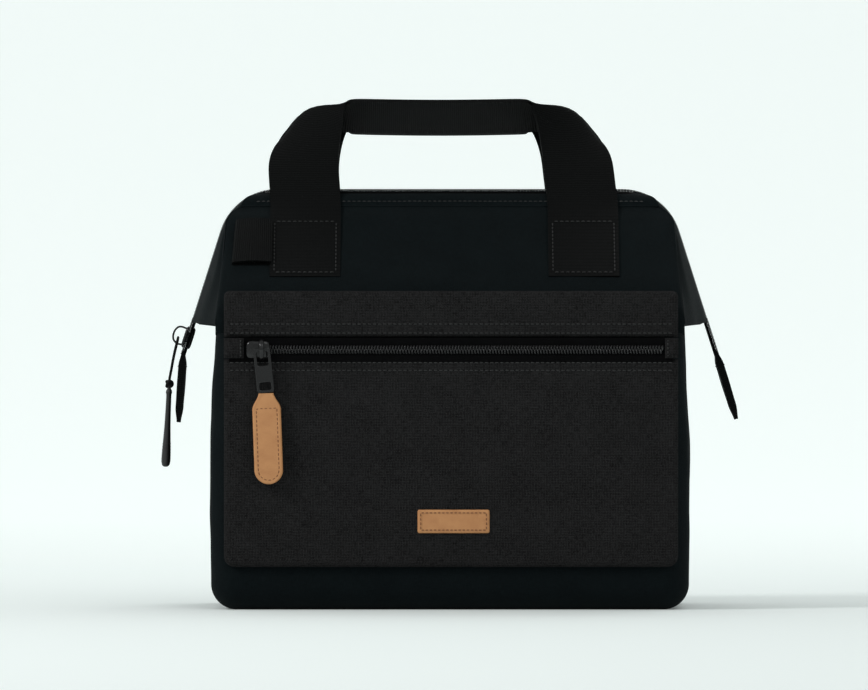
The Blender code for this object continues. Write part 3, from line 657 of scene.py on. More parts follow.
def base_skin(edge):
    """The woven underside, flat where the bag stands, two layers closed round its edge."""
    rings = []
    for share in np.linspace(0.0, 1.0, 12):
        ring = [Vector((p.x * share, p.y * share, 0.35 * MM)) for p in edge[:-1]]
        rings.append(ring)
    verts = [Vector((0, 0, 0.35 * MM))]
    uvs = [(0.0, 0.0)]
    faces = []
    count = len(edge) - 1
    for level in (0.0, 1.2 * MM):
        start = len(verts)
        if level:
            verts.append(Vector((0, 0, 0.35 * MM + level)))
            uvs.append((0.0, 0.0))
            start += 1
        for ring in rings[1:]:
            verts += [p + Vector((0, 0, level)) for p in ring]
            uvs += [(p.x, p.y) for p in ring]
        hub = start - 1
        for j in range(count):
            k = (j + 1) % count
            faces.append((hub, start + k, start + j) if level else (hub, start + j, start + k))
            for r in range(len(rings) - 2):
                a, b = start + r * count + j, start + r * count + k
                quad = (a, b, b + count, a + count)
                faces.append(quad if level else tuple(reversed(quad)))
    outer, inner = 1 + (len(rings) - 2) * count, 2 + (len(rings) - 1) * count + (len(rings) - 2) * count
    for j in range(count):
        k = (j + 1) % count
        faces.append((outer + j, outer + k, inner + k, inner + j))
    piece = make_piece("base_skin", verts, faces, uvs, "outer")
    clean(piece)
    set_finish(piece, "outer_fabric")
    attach(piece, "body")
    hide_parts("outer_base")


# ---- mouth -----------------------------------------------------------------------------------------
def panel_half_width(t):
    """Half the leaning panel's width at t up from the bend: straight sides, round upper corners."""
    side = (125.6 - 0.058 * t / MM) * MM
    corner, top = 13.0 * MM, 87.0 * MM
    if t > top - corner:
        side -= corner - (max(0.0, corner**2 - (t - top + corner) ** 2)) ** 0.5
    return side


def upper_panel(half):
    """The leaning panel, carried a little way down past the bend so that the cloth folds as one."""
    rows, columns = 60, 120
    grid = []
    low, top = -7.0 * MM, 86.9 * MM
    for i in range(rows + 1):
        t = low + (top - low) * i / rows
        width = panel_half_width(max(0.0, t))
        row = []
        for j in range(columns + 1):
            share = 2 * j / columns - 1
            x = width * sin(share * pi / 2 * 0.97) / sin(pi / 2 * 0.97)
            near = abs(share)
            if t < 0:
                point = Vector((x, -HALF_D + 0.2 * MM, BEND_Z + t))
            else:
                point = on_panel(x, t)
            bend = ease(1 - abs(t - 1.0 * MM) / (9.0 * MM))
            point += Vector((0, 0.9 * MM * bend, -0.5 * MM * bend))
            roll = max(0.0, near - 0.9) / 0.1
            swell = 1.5 * MM * ease(min(1.0, max(0.0, t) / (30 * MM))) * (1 - near**6)
            swell += (wrinkle(point, 40 * MM, 1.7) * 0.9 + wrinkle(point, 15 * MM, 5.2) * 0.35) * MM
            swell *= ease((top - t) / (12 * MM)) * 0.9 + 0.1
            point += Vector((0, -cos(LEAN), sin(LEAN))) * (swell - 1.2 * MM * roll**2)
            row.append(point)
        grid.append(row)
    piece = sheet_piece(f"upper_shell_{half}", grid, 1.2 * MM, "outer", None, "outer_fabric", turn=True,
                        mirror=half == "back")
    blend_mouth(piece)
    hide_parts(f"upper_panel_{half}")
    return grid


def hem_strip(half):
    """The narrow top strip between the seam and the zip, puffed along its length, and its stitches."""
    rows, columns = 12, 120
    grid = []
    t_low, t_high = 86.0 * MM, 98.6 * MM
    for i in range(rows + 1):
        f = i / rows
        t = t_low + (t_high - t_low) * f
        row = []
        for j in range(columns + 1):
            share = 2 * j / columns - 1
            width = (113.0 - 7.5 * f**2) * MM
            x = share * width
            puff = 1.5 * MM * sin(pi * min(1.0, f * 1.05 + 0.02)) ** 0.7
            puff += wrinkle((x, t, 0), 22 * MM, 2.2) * 0.35 * MM * sin(pi * f)
            drop = 2.2 * MM * max(0.0, abs(share) - 0.86) / 0.14
            point = on_panel(x, t - drop * f, -puff)
            row.append(point)
        grid.append(row)
    piece = sheet_piece(f"hem_{half}", grid, 1.1 * MM, "outer", f"mouth_{half}", "outer_fabric", turn=True,
                        mirror=half == "back")
    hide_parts(f"top_strip_{half}")
    out = Vector((0, -cos(LEAN), sin(LEAN)))
    route = []
    for j in range(4, columns - 3):
        point = Vector(grid[3][j]) + out * 0.12 * MM
        route.append((point, out))
    stitched(f"hem_stitches_{half}", route, half, f"mouth_{half}")
    piping_route = [Vector(on_panel(share * 113.0 * MM, 86.5 * MM, -0.2 * MM)) for share in np.linspace(-1,
        1, 80)]
    ride_half(round_cord(f"hem_seam_{half}", [flip(p, half) for p in piping_route], 0.55 * MM, "outer", 8),
        half,
              "outer_fabric")


def flip(point, half):
    return Vector((point[0], -point[1], point[2])) if half == "back" else Vector(point)


def ride_half(piece, half, slot):
    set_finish(piece, slot)
    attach(piece, f"mouth_{half}")
    return piece


def stitched(name, route, half, body, material="thread", slot="outer_fabric", **sizes):
    route = [(flip(p, half), flip(n, half)) for p, n in route]
    return stitch_row(name, route, material, body, slot, **sizes)


def round_cord(name, points, radius, material, sides=8, taper=None):
    """A closed round strand along a route."""
    count = len(points)
    verts, faces, uvs = [], [], []
    side = Vector((0, 0, 1))
    run = 0.0
    for i, point in enumerate(points):
        along = (points[min(i + 1, count - 1)] - points[max(i - 1, 0)]).normalized()
        if i == 0:
            side = along.orthogonal().normalized()
        else:
            run += (point - points[i - 1]).length
        side = (side - along * side.dot(along)).normalized()
        other = along.cross(side)
        wide = radius * (taper(i / (count - 1)) if taper else 1.0)
        for k in range(sides):
            a = 2 * pi * k / sides
            verts.append(point + (side * cos(a) + other * sin(a)) * wide)
            uvs.append((a * radius, run))
    for i in range(count - 1):
        for k in range(sides):
            a, b = i * sides + k, i * sides + (k + 1) % sides
            faces.append((a, b, b + sides, a + sides))
    faces.append(tuple(reversed(range(sides))))
    faces.append(tuple((count - 1) * sides + k for k in range(sides)))
    return make_piece(name, verts, faces, uvs, material)


def wing(half, word):
    """A side bellows: cloth from the panel's side edge round to the mouth's edge, slack in between."""
    sign = -1 if word == "left" else 1
    rows, columns = 44, 30
    edge = half_edge(sign, 60)
    run = 0.0
    lengths = [0.0]
    for a, b in zip(edge, edge[1:]):
        run += (b - a).length
        lengths.append(run)
    edge_x = [p.x for p in edge]
    edge_z = [p.z for p in edge]
    reach = 84.0 * MM
    grid = []
    for i in range(rows + 1):
        f = i / rows
        t = 87.5 * MM * f
        hem = 1.4 * MM * (1 - min(1.0, f * rows))
        near = on_panel(sign * (panel_half_width(t) + 0.1 * MM), t, 0.9 * MM)
        far_run = reach * f
        far = Vector((np.interp(far_run, lengths, edge_x), -MOUTH_Y + 1.0 * MM,
            np.interp(far_run, lengths, edge_z)))
        row = []
        for j in range(columns + 1):
            g = j / columns
            point = near.lerp(far, g)
            slack = sin(pi * g) * (1 - 0.75 * f)
            point.x += sign * slack * (2.0 + 1.4 * wrinkle(point, 30 * MM, 4.0 + sign)) * MM
            crease = sin(pi * min(1.0, g * 3.2)) * ease(f * 2.5) * (1 - ease(g * 3))
            point.x -= sign * crease * 3.2 * MM
            point.z += wrinkle(point, 18 * MM, 6.6) * 0.4 * MM * slack - hem
            row.append(point)
        grid.append(row)
    piece = sheet_piece(f"bellows_{half}_{word}", grid, 1.1 * MM, "outer", None, "outer_fabric",
                        turn=(sign > 0), mirror=half == "back")
    blend_mouth(piece)
    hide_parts(f"wing_{half}_{word}")


def side_web(word):
    """The folded cloth under a wing, from the side panel out to the zip's end and up behind the wing."""
    sign = -1 if word == "left" else 1
    columns = 60
    outline = []
    for j in range(columns + 1):
        share = 2 * j / columns - 1
        y = share * 70.5 * MM
        reach = (1 - abs(share) ** 1.25) * 13.0 * MM
        outline.append((y, reach))
    profile = [(0.0, -5.0), (0.1, -3.2), (0.45, -2.6), (0.85, -2.0), (1.0, -0.9), (0.9, 0.5), (0.72, 4.0),
        (0.5, 12.0)]
    grid = []
    for f, z in profile:
        row = []
        for y, reach in outline:
            height = BEND_Z + z * MM if z < 0.6 else BEND_Z + z * MM * min(1.0, reach / (10 * MM))
            x = sign * (124.4 * MM + (reach + 0.6 * MM) * f)
            row.append(Vector((x, y, height + wrinkle((0, y, 0), 20 * MM, 3.3) * 0.3 * MM)))
        grid.append(row)
    piece = sheet_piece(f"side_web_{word}", grid, 0.9 * MM, "outer", "body", "outer_fabric",
        turn=(sign > 0), sharp=0.9)
    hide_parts(f"side_fold_{word}")


# ---- zips ------------------------------------------------------------------------------------------
def coil_teeth(verts, faces, uvs, point, across, out, along, reach, wire):
    """One turn of a zip's coil: a bent wire that leaves the tape, rounds over and comes back."""
    stations = ((-0.2, 0.0, -0.28), (0.35, 0.5, -0.26), (0.85, 0.55, -0.12), (1.08, 0.05, 0.0),
        (0.85, -0.45, 0.12),
                (0.35, -0.5, 0.26), (-0.2, -0.3, 0.28))
    route = [point + across * reach * a + out * wire * b * 2.0 + along * wire * c * 1.6 for a, b,
        c in stations]
    first = len(verts)
    sides = 5
    for i, place in enumerate(route):
        tangent = (route[min(i + 1, 6)] - route[max(i - 1, 0)]).normalized()
        side = (along - tangent * along.dot(tangent)).normalized()
        other = tangent.cross(side)
        thick = wire * (1.25 if i == 3 else 1.0)
        for k in range(sides):
            a = 2 * pi * k / sides
            verts.append(place + (side * cos(a) + other * sin(a)) * thick / 2)
            uvs.append((a * wire, i * wire))
    for i in range(6):
        for k in range(sides):
            a, b = first + i * sides + k, first + i * sides + (k + 1) % sides
            faces.append((a, b, b + sides, a + sides))
    faces.append(tuple(first + k for k in reversed(range(sides))))
    faces.append(tuple(first + 6 * sides + k for k in range(sides)))


def coil_row(name, path, outs, across, slot, body, pitch=1.6 * MM, offset=0.0, reach=1.9 * MM,
    wire=0.56 * MM):
    """A row of coil turns along a path; across(i) is the direction that the turns point in."""
    array = np.array([tuple(p) for p in path])
    normal = np.array([tuple(n) for n in outs])
    run = np.concatenate(([0], np.cumsum(np.linalg.norm(np.diff(array, axis=0), axis=1))))
    verts, faces, uvs = [], [], []
    place = pitch * (0.5 + offset)
    while place < run[-1] - pitch * 0.3:
        point = Vector([np.interp(place, run, array[:, c]) for c in range(3)])
        ahead = Vector([np.interp(min(run[-1], place + pitch), run, array[:, c]) for c in range(3)])
        behind = Vector([np.interp(max(0, place - pitch), run, array[:, c]) for c in range(3)])
        out = Vector([np.interp(place, run, normal[:, c]) for c in range(3)]).normalized()
        coil_teeth(verts, faces, uvs, point, across, out, (ahead - behind).normalized(), reach, wire)
        place += pitch
    piece = make_piece(name, verts, faces, uvs, "coil")
    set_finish(piece, slot)
    if body:
        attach(piece, body)
    return piece


def main_zip(half):
    """Tape and coil along the mouth's whole edge, one side of the zip."""
    path = mouth_edge(90)
    outs = edge_outward(path)
    grid = []
    for y, drop in ((-8.6, 1.9), (-7.0, 1.1), (-4.5, 0.75), (-2.5, 0.7), (-1.6, 0.75)):
        grid.append([p - n * drop * MM + Vector((0, y * MM, 0)) for p, n in zip(path, outs)])
    tape = sheet_piece(f"main_tape_{half}", grid, 0.5 * MM, "tape", None, "zip_tape", turn=True,
        mirror=half == "back")
    blend_mouth(tape)
    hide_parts(f"main_zip_{half}")
    sign = 1 if half == "front" else -1
    row = [p - n * 0.2 * MM + Vector((0, -1.75 * MM * sign, 0)) for p, n in zip(path, outs)]
    coil = coil_row(f"main_coil_{half}", row, outs, Vector((0, sign, 0)), "zip_tape", None,
                    offset=0.0 if half == "front" else 0.5)
    blend_mouth(coil)


def edge_down(z, depth=0.0):
    """The left mouth edge carried on below the tip, depth in from its outside."""
    return Vector((-(TIP_X - (z - TIP_Z) * tan(EDGE_LEAN)) + depth / cos(EDGE_LEAN), 0, z))


def zip_tail(word):
    sign = -1 if word == "left" else 1
    heights = np.linspace(TIP_Z - 19.6 * MM, TIP_Z + 1.2 * MM, 14)
    path = [edge_down(z, 0.2 * MM) for z in heights]
    path = [Vector((-sign * p.x, 0, p.z)) for p in path]
    outs = [Vector((sign * cos(EDGE_LEAN), 0, sin(EDGE_LEAN)))] * len(path)
    grid = []
    for y in (-6.0, -4.5, -2.5, -0.4, 0.0, 0.4, 2.5, 4.5, 6.0):
        grid.append([p - n * 0.6 * MM + Vector((0, y * MM, 0)) for p, n in zip(path, outs)])
    tape = sheet_piece(f"tail_tape_{word}", grid, 1.3 * MM, "tape", "body", "zip_tape", turn=(sign < 0))
    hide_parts(f"zip_tail_{word}")
    for half, side in (("front", 1), ("back", -1)):
        row = [p + Vector((0, -1.75 * MM * side, 0)) for p in path]
        coil_row(f"tail_coil_{word}_{half}", row, outs, Vector((0, side, 0)), "zip_tape", "body",
                 offset=0.0 if side > 0 else 0.5)


def tail_tab(word, lean_degrees):
    """Folded webbing tab on the zip's end: two layers round the tape, stitched across, with a cut point."""
    sign = -1 if word == "left" else 1
    high = Vector(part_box(f"tail_tab_{word}")[1])
    top = edge_down(high.z + 0.6 * MM, 0.8 * MM)
    top.x = -sign * top.x
    lean = lean_degrees * pi / 180
    down = Vector((sign * sin(lean), 0, -cos(lean)))
    out = Vector((sign * cos(lean), 0, sin(lean)))
    length = 37.0 * MM
    for layer, side in (("outer", 1), ("inner", -1)):
        grid = []
        for i in range(31):
            f = i / 30
            bow = (0.7 + 1.3 * ease(f * 5) * (1 - 0.8 * ease((f - 0.78) / 0.22))) * MM
            half_y = (11.0 - 3.6 * ease((f - 0.86) / 0.14)) * MM
            row = []
            for j in range(13):
                y = half_y * (2 * j / 12 - 1)
                curl = 0.2 * MM * wrinkle((0, y, f * 0.04), 12 * MM, 2.0)
                row.append(top + down * (f * (length + 1.8 * MM) - 1.4 * MM) + out * (side * bow + curl) + Vector((0, y, 0)))
            grid.append(row)
        turned = (side * sign) < 0
        depth = np.array([(0.65 + 1.3 * ease(i / 6) * (1 - 0.8 * ease((i / 30 - 0.78) / 0.22))) * MM
                          for i in range(31)]).reshape(31, 1, 1)
        sheet_piece(f"tab_{word}_{layer}", grid, depth, "webbing", f"{word}_tail_tab",
            "webbing",
                                  turn=turned)
        rail = Vector((0, 1, 0))
        route = []
        for j in range(20):
            y = (2 * j / 19 - 1) * 9.6 * MM
            route.append((top + down * 7.0 * MM + out * side * 2.05 * MM + rail * y, out * side))
        stitch_row(f"tab_stitch_{word}_{layer}", route, "thread", f"{word}_tail_tab", "webbing")
    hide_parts(f"tail_tab_{word}")


# ---- handles ----------------------------------------------------------------------------------------
def profile(s, leans):
    first, last = (a * pi / 180 for a in leans)
    rate = (last - first) / HANDLE_RISE
    lean = first + rate * s
    return (cos(first) - cos(lean)) / rate, (sin(lean) - sin(first)) / rate, lean


def strap_line(leg, way, leans):
    """One station across a strap, 11 points from its inner to its outer edge. way runs 0 to 1 up the
    sewn patch, 1 to 2 up the free leg and 2 to 3 round the twisted shoulder to the bar."""
    sign = -1 if leg == 0 else 1
    base, top = LEG_BASE[leg], LEG_TOP[leg]
    leg_rise = HANDLE_RISE - SHOULDER_RISE
    points = []
    for k in range(11):
        v = k / 10
        if way <= 1:
            t = PATCH_LOW + (PIVOT_T - PATCH_LOW) * way
            points.append(on_panel(base + sign * WEBBING * v, t, -2.5 * MM if way < 0.93 else -1.6 * MM))
            continue
        q = way - 1
        if q <= 1:
            x = base + (top - base) * q * 0.6
            inner, outer, bulge = (x, q * leg_rise, 0.0), (x + sign * WEBBING, q * leg_rise, 0.0), 0.0
        else:
            turn = (q - 1) * pi / 2
            x = base + (top - base) * (0.6 + 0.4 * (q - 1))
            s = leg_rise + SHOULDER_RISE * sin(turn)
            twist = (1 - cos(turn)) ** 0.8
            inner = (x - sign * 6.0 * MM * twist, s, -WEBBING / 2 * twist)
            outer = (x + sign * WEBBING * cos(turn) ** 0.56 - sign * 6.0 * MM * twist, s, WEBBING / 2 * twist)
            bulge = 11.0 * MM * sin(pi * (q - 1) ** 1.6) ** 2
        x, s, w = (a + (b - a) * v for a, b in zip(inner, outer))
        hump = bulge * 4 * v * (1 - v)
        s += 0.8 * hump
        back, rise, lean = profile(s, leans)
        points.append(Vector((x + sign * 0.6 * hump, HANDLE_PIVOT.y + back + w * cos(lean),
                              HANDLE_PIVOT.z + rise - w * sin(lean))))
    return points


def strap_grid(half):
    leans = LEANS["front"] if half == "front" else tuple(-a for a in LEANS["back"])
    up = [strap_line(0, w, leans) for w in np.linspace(0, 1, 29)]
    up += [strap_line(0, w, leans) for w in np.linspace(1.06, 2, 16)]
    up += [strap_line(0, w, leans) for w in np.linspace(2.03, 3, 32)]
    over = [strap_line(1, w, leans) for w in np.linspace(3, 2.03, 32)]
    over += [strap_line(1, w, leans) for w in np.linspace(2, 1.06, 16)]
    over += [strap_line(1, w, leans) for w in np.linspace(1, 0, 29)]
    first, last = up[-1], over[0]
    bar = []
    for f in np.linspace(0, 1, 42)[1:-1]:
        bar.append([a.lerp(b, f) + Vector((0, 0, -0.7 * MM * sin(pi * f))) for a, b in zip(first, last)])
    return up + bar + over


def smooth_grid(grid, passes, keep):
    """Relaxes a strap along its length, but leaves its sewn ends where they are."""
    array = np.array([[tuple(p) for p in row] for row in grid])
    for _ in range(passes):
        moved = array.copy()
        moved[1:-1] = (array[:-2] + 2 * array[1:-1] + array[2:]) / 4
        array[keep:-keep] = moved[keep:-keep]
    return [[Vector(p) for p in row] for row in array]


def handle(half):
    """The webbing of one handle, both sewn ends and the free loop in one strap."""
    grid = smooth_grid(strap_grid(half), 12, 24)
    if half == "back":
        grid = [[Vector((p.x, -p.y, p.z)) for p in row] for row in grid]
    strap = sheet_piece(f"strap_{half}", grid, 1.9 * MM, "webbing", None, "webbing", turn=(half == "back"))
    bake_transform(strap)
    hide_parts(f"handle_{half}", f"handle_patch_{half}_left", f"handle_patch_{half}_right")
    box_stitching(half)


def box_stitching(half):
    """A stitched box on each sewn end."""
    out = Vector((0, -cos(LEAN), sin(LEAN)))
    for leg, word in ((0, "left"), (1, "right")):
        sign = -1 if leg == 0 else 1
        inner = LEG_BASE[leg]
        a, b = sorted((inner + sign * 2.4 * MM, inner + sign * (WEBBING - 2.4 * MM)))
        low, high = PATCH_LOW + 2.8 * MM, PATCH_LOW + 41.5 * MM
        corners = [(a, low), (b, low), (b, high), (a, high), (a, low)]
        rows = []
        for number, ((x0, t0), (x1, t1)) in enumerate(zip(corners, corners[1:])):
            route = []
            for f in np.linspace(0.02, 0.98, 30):
                route.append((on_panel(x0 + (x1 - x0) * f, t0 + (t1 - t0) * f, -2.58 * MM), out))
            rows.append(stitched(f"s{half}{word}{number}", route, half, f"mouth_{half}", slot="webbing"))
        join_pieces(f"patch_stitches_{half}_{word}", rows)


def accessory_loop():
    """Webbing loop caught under the left patch, standing a little off the panel with a soft bight."""
    inner_x, outer_x = -96.0 * MM, -116.6 * MM
    t_low, t_high = 40.0 * MM, 72.5 * MM
    grid = []
    for i in range(41):
        f = i / 40
        if f < 0.35:
            x = inner_x + (outer_x + 2.6 * MM - inner_x) * f / 0.35
            depth = -0.9 * MM
        elif f > 0.65:
            x = inner_x + (outer_x + 2.6 * MM - inner_x) * (1 - f) / 0.35
            depth = -4.6 * MM - 0.8 * MM * sin(pi * (1 - f) / 0.35)
        else:
            turn = (f - 0.35) / 0.3 * pi
            x = outer_x + 2.6 * MM - 2.6 * MM * sin(turn)
            depth = -2.75 * MM + 1.85 * MM * cos(turn)
        row = []
        for j in range(13):
            g = j / 12
            t = t_low + (t_high - t_low) * g
            lean = 1.6 * MM * (g - 0.5)
            row.append(on_panel(x + lean * (1 if 0.2 < f < 0.8 else 0), t, depth - 0.5 * MM * sin(pi * g)))
        grid.append(row)
    piece = sheet_piece("accessory_strap", grid, 1.1 * MM, "webbing", "mouth_front", "webbing", turn=False)
    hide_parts("accessory_loop")


# ---- pocket -----------------------------------------------------------------------------------------
POCKET_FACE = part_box("pocket_panel")[1][1]
ZIP_Z = (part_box("pocket_zip_lower")[1][2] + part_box("pocket_zip_upper")[0][2]) / 2
OUT = Vector((0, -1, 0))


def rounded_box_grid(low, high, corner, columns, rows):
    """(x, z) places over a rectangle with round corners, with a share 0 to 1 of how near the edge each is."""
    grid = []
    for i in range(rows + 1):
        f = 0.5 - 0.5 * cos(pi * i / rows)
        z = low[1] + (high[1] - low[1]) * f
        gap = max(0.0, corner[0] - (z - low[1])) if corner[0] else 0.0
        top_gap = max(0.0, corner[1] - (high[1] - z)) if corner[1] else 0.0
        inset = 0.0
        if gap:
            inset = corner[0] - (corner[0] ** 2 - gap**2) ** 0.5
        if top_gap:
            inset = corner[1] - (corner[1] ** 2 - top_gap**2) ** 0.5
        row = []
        for j in range(columns + 1):
            g = 0.5 - 0.5 * cos(pi * j / columns)
            g = 0.35 * g + 0.65 * j / columns
            x = low[0] + inset + (high[0] - low[0] - 2 * inset) * g
            edge = min(x - low[0] - inset, high[0] - inset - x, z - low[1], high[1] - z)
            row.append((x, z, max(0.0, edge)))
        grid.append(row)
    return grid


def pocket_sheet(low, high, corner, swell, columns, rows, seed):
    """A pocket part: its edge is turned in and sewn flat, its middle stands proud and is a little uneven."""
    grid = []
    for line in rounded_box_grid(low, high, corner, columns, rows):
        row = []
        for x, z, edge in line:
            rise = 2.6 * MM * (1 - (1 - min(1.0, edge / (2.6 * MM))) ** 2) ** 0.5
            centre = ease(edge / (30 * MM))
            rise += swell * centre
            place = (x, 0.0, z)
            rise += (wrinkle(place, 46 * MM, seed) * 0.7 + wrinkle(place, 17 * MM,
                seed + 3) * 0.28) * MM * ease(edge / (9 * MM))
            row.append(Vector((x, POCKET_FACE - 0.9 * MM - rise, z)))
        grid.append(row)
    return grid


def surface_at(grid, x, z):
    """The y of a pocket grid at a place, from its nearest row and column."""
    rows = [row[0].z for row in grid]
    i = int(np.argmin([abs(r - z) for r in rows]))
    xs = [p.x for p in grid[i]]
    ys = [p.y for p in grid[i]]
    return float(np.interp(x, xs, ys))


def stitch_line(name, grid, x0, x1, z0, z1, material="thread", slot="pocket_canvas", body="body", **sizes):
    route = []
    for f in np.linspace(0, 1, 80):
        x, z = x0 + (x1 - x0) * f, z0 + (z1 - z0) * f
        route.append((Vector((x, surface_at(grid, x, z) - 0.1 * MM, z)), OUT))
    return stitch_row(name, route, material, body, slot, **sizes)


def pocket():
    low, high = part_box("pocket_panel")
    flap_low, flap_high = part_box("pocket_flap")
    panel = pocket_sheet((low[0], low[2]), (high[0], high[2]), (6 * MM, 0), 1.6 * MM, 150, 90, 2.4)
    piece = sheet_piece("pocket_front", panel, 1.2 * MM, "canvas", "body", "pocket_canvas", turn=True)
    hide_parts("pocket_panel")
    flap = pocket_sheet((flap_low[0], flap_low[2]), (flap_high[0], flap_high[2]), (0, 3 * MM), 0.3 * MM,
        150, 30, 7.7)
    piece = sheet_piece("pocket_band", flap, 1.2 * MM, "canvas", "body", "pocket_canvas", turn=True)
    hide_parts("pocket_flap")
    x0, x1 = low[0] + 3 * MM, high[0] - 3 * MM
    rows = [stitch_line("a", flap, x0, x1, 153.0 * MM, 153.0 * MM),
        stitch_line("b", flap, x0, x1, 148.2 * MM, 148.2 * MM)]
    join_pieces("pocket_band_stitches", rows)
    rows = [stitch_line("a", panel, x0, x1, 132.4 * MM, 132.4 * MM),
        stitch_line("b", panel, x0, x1, 128.3 * MM, 128.3 * MM)]
    join_pieces("pocket_front_stitches", rows)
    pocket_zip()
    label(panel)


def pocket_zip():
    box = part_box("pocket_zip_lower")
    x0, x1 = box[0][0] + 1 * MM, box[1][0] - 1 * MM
    for word, side in (("lower", -1), ("upper", 1)):
        grid = []
        for far, y in ((6.4, -79.2), (4.6, -79.2), (3.4, -79.25), (2.2, -79.0), (1.7, -78.9)):
            z = ZIP_Z + side * far * MM
            grid.append([Vector((x, y * MM + wrinkle((x, 0, z), 20 * MM, side) * 0.15 * MM,
                z)) for x in np.linspace(x0, x1, 90)])
        piece = sheet_piece(f"pocket_tape_{word}", grid, 0.5 * MM, "tape", "body", "zip_tape",
            turn=(side < 0))
        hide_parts(f"pocket_zip_{word}")
        row = [Vector((x, -79.7 * MM, ZIP_Z + side * 1.8 * MM)) for x in np.linspace(-109 * MM, 114.5 * MM,
            60)]
        coil_row(f"pocket_coil_{word}", row, [OUT] * 60, Vector((0, 0, -side)), "zip_tape", "body",
                 offset=0.0 if side < 0 else 0.5, reach=2.0 * MM, wire=0.58 * MM)
    for word in ("left", "right"):
        low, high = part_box(f"pocket_zip_end_{word}")
        grid = []
        for i in range(17):
            z = low[2] + (high[2] - low[2]) * i / 16
            row = []
            for j in range(17):
                x = low[0] + (high[0] - low[0]) * j / 16
                edge = min(i, 16 - i, j, 16 - j) / 16
                row.append(Vector((x, high[1] - 0.3 * MM - 1.3 * MM * ease(edge * 5), z)))
            grid.append(row)
        piece = sheet_piece(f"zip_end_{word}", grid, 0.8 * MM, "canvas", "body", "pocket_canvas", turn=True)
        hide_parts(f"pocket_zip_end_{word}")
        x = high[0] - 1.6 * MM if word == "left" else low[0] + 1.6 * MM
        stitch_line(f"zip_end_stitch_{word}", grid, x, x, low[2] + 0.8 * MM, high[2] - 0.8 * MM,
            pitch=2.0 * MM)


def label(panel):
    """Blank leather label with an embossed frame and a stitched border."""
    low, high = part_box("leather_label")
    grid = []
    for line in rounded_box_grid((low[0], low[2]), (high[0], high[2]), (1.0 * MM, 1.0 * MM), 60, 30):
        row = []
        for x, z, edge in line:
            rise = 0.9 * MM * (1 - (1 - min(1.0, edge / (0.9 * MM))) ** 2) ** 0.5
            groove = 0.18 * MM * ease(1 - abs(edge - 2.9 * MM) / (0.4 * MM))
            row.append(Vector((x, surface_at(panel, x, z) - 0.15 * MM - rise + groove, z)))
        grid.append(row)
    piece = sheet_piece("label_leather", grid, 1.0 * MM, "leather", "body", "tan_leather", turn=True)
    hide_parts("leather_label")
    inset = 1.7 * MM
    a, b, c, d = low[0] + inset, high[0] - inset, low[2] + inset, high[2] - inset
    rows = []
    for x0, z0, x1, z1 in ((a, c, b, c), (b, c, b, d), (b, d, a, d), (a, d, a, c)):
        rows.append(stitch_line("l", grid, x0, x1, z0, z1, "tan_thread", "tan_leather", pitch=2.1 * MM,
            width=0.55 * MM))
    join_pieces("label_stitches", rows)


# ---- hardware -----------------------------------------------------------------------------------------
def solid_from_rings(name, rings, material, slot, body, sharp=0.7, subdivide=0):
    """A closed solid through rings of matching points, capped, with optional rounding."""
    count = len(rings[0])
    verts = [p for ring in rings for p in ring]
    faces = []
    for r in range(len(rings) - 1):
        for k in range(count):
            a, b = r * count + k, r * count + (k + 1) % count
            faces.append((a, b, b + count, a + count))
    faces.append(tuple(reversed(range(count))))
    faces.append(tuple((len(rings) - 1) * count + k for k in range(count)))
    piece = make_piece(name, verts, faces, [(v[0], v[2]) for v in verts], material, sharp=sharp)
    clean(piece)
    if subdivide:
        level = piece.modifiers.new("round", "SUBSURF")
        level.levels = level.render_levels = subdivide
    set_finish(piece, slot)
    if body:
        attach(piece, body)
    return piece


def bevelled(piece, width):
    rounding = piece.modifiers.new("bevel", "BEVEL")
    rounding.width = width
    rounding.segments = 3
    rounding.limit_method = "ANGLE"
    rounding.angle_limit = 0.6
    return piece


def oval(centre, across, up, half_a, half_b, sides=24, power=2.6):
    ring = []
    for k in range(sides):
        a = 2 * pi * k / sides
        ca, sa = cos(a), sin(a)
        u = abs(ca) ** (2 / power) * (1 if ca > 0 else -1)
        v = abs(sa) ** (2 / power) * (1 if sa > 0 else -1)
        ring.append(centre + across * half_a * u + up * half_b * v)
    return ring


def slider_body(name, centre, along, across, out, half_l, half_w, top, body):
    """The slider's crowned outer plate with waisted sides."""
    rings = []
    for depth, shrink in ((0.0, 0.94), (0.35, 1.0), (0.9, 0.98), (1.35, 0.86), (1.55, 0.62)):
        ring = []
        for k in range(32):
            a = 2 * pi * k / 32
            u = (abs(cos(a)) ** 0.55) * (1 if cos(a) > 0 else -1)
            v = (abs(sin(a)) ** 0.55) * (1 if sin(a) > 0 else -1)
            waist = 1.0 - 0.16 * (1 - abs(u) ** 1.5) if abs(v) > 0.4 else 1.0
            ring.append(centre + along * half_l * u * shrink + across * half_w * v * waist * shrink + out * (top + depth * MM))
        rings.append(ring)
    return solid_from_rings(name, rings, "metal", "slider_metal", body, sharp=0.9)


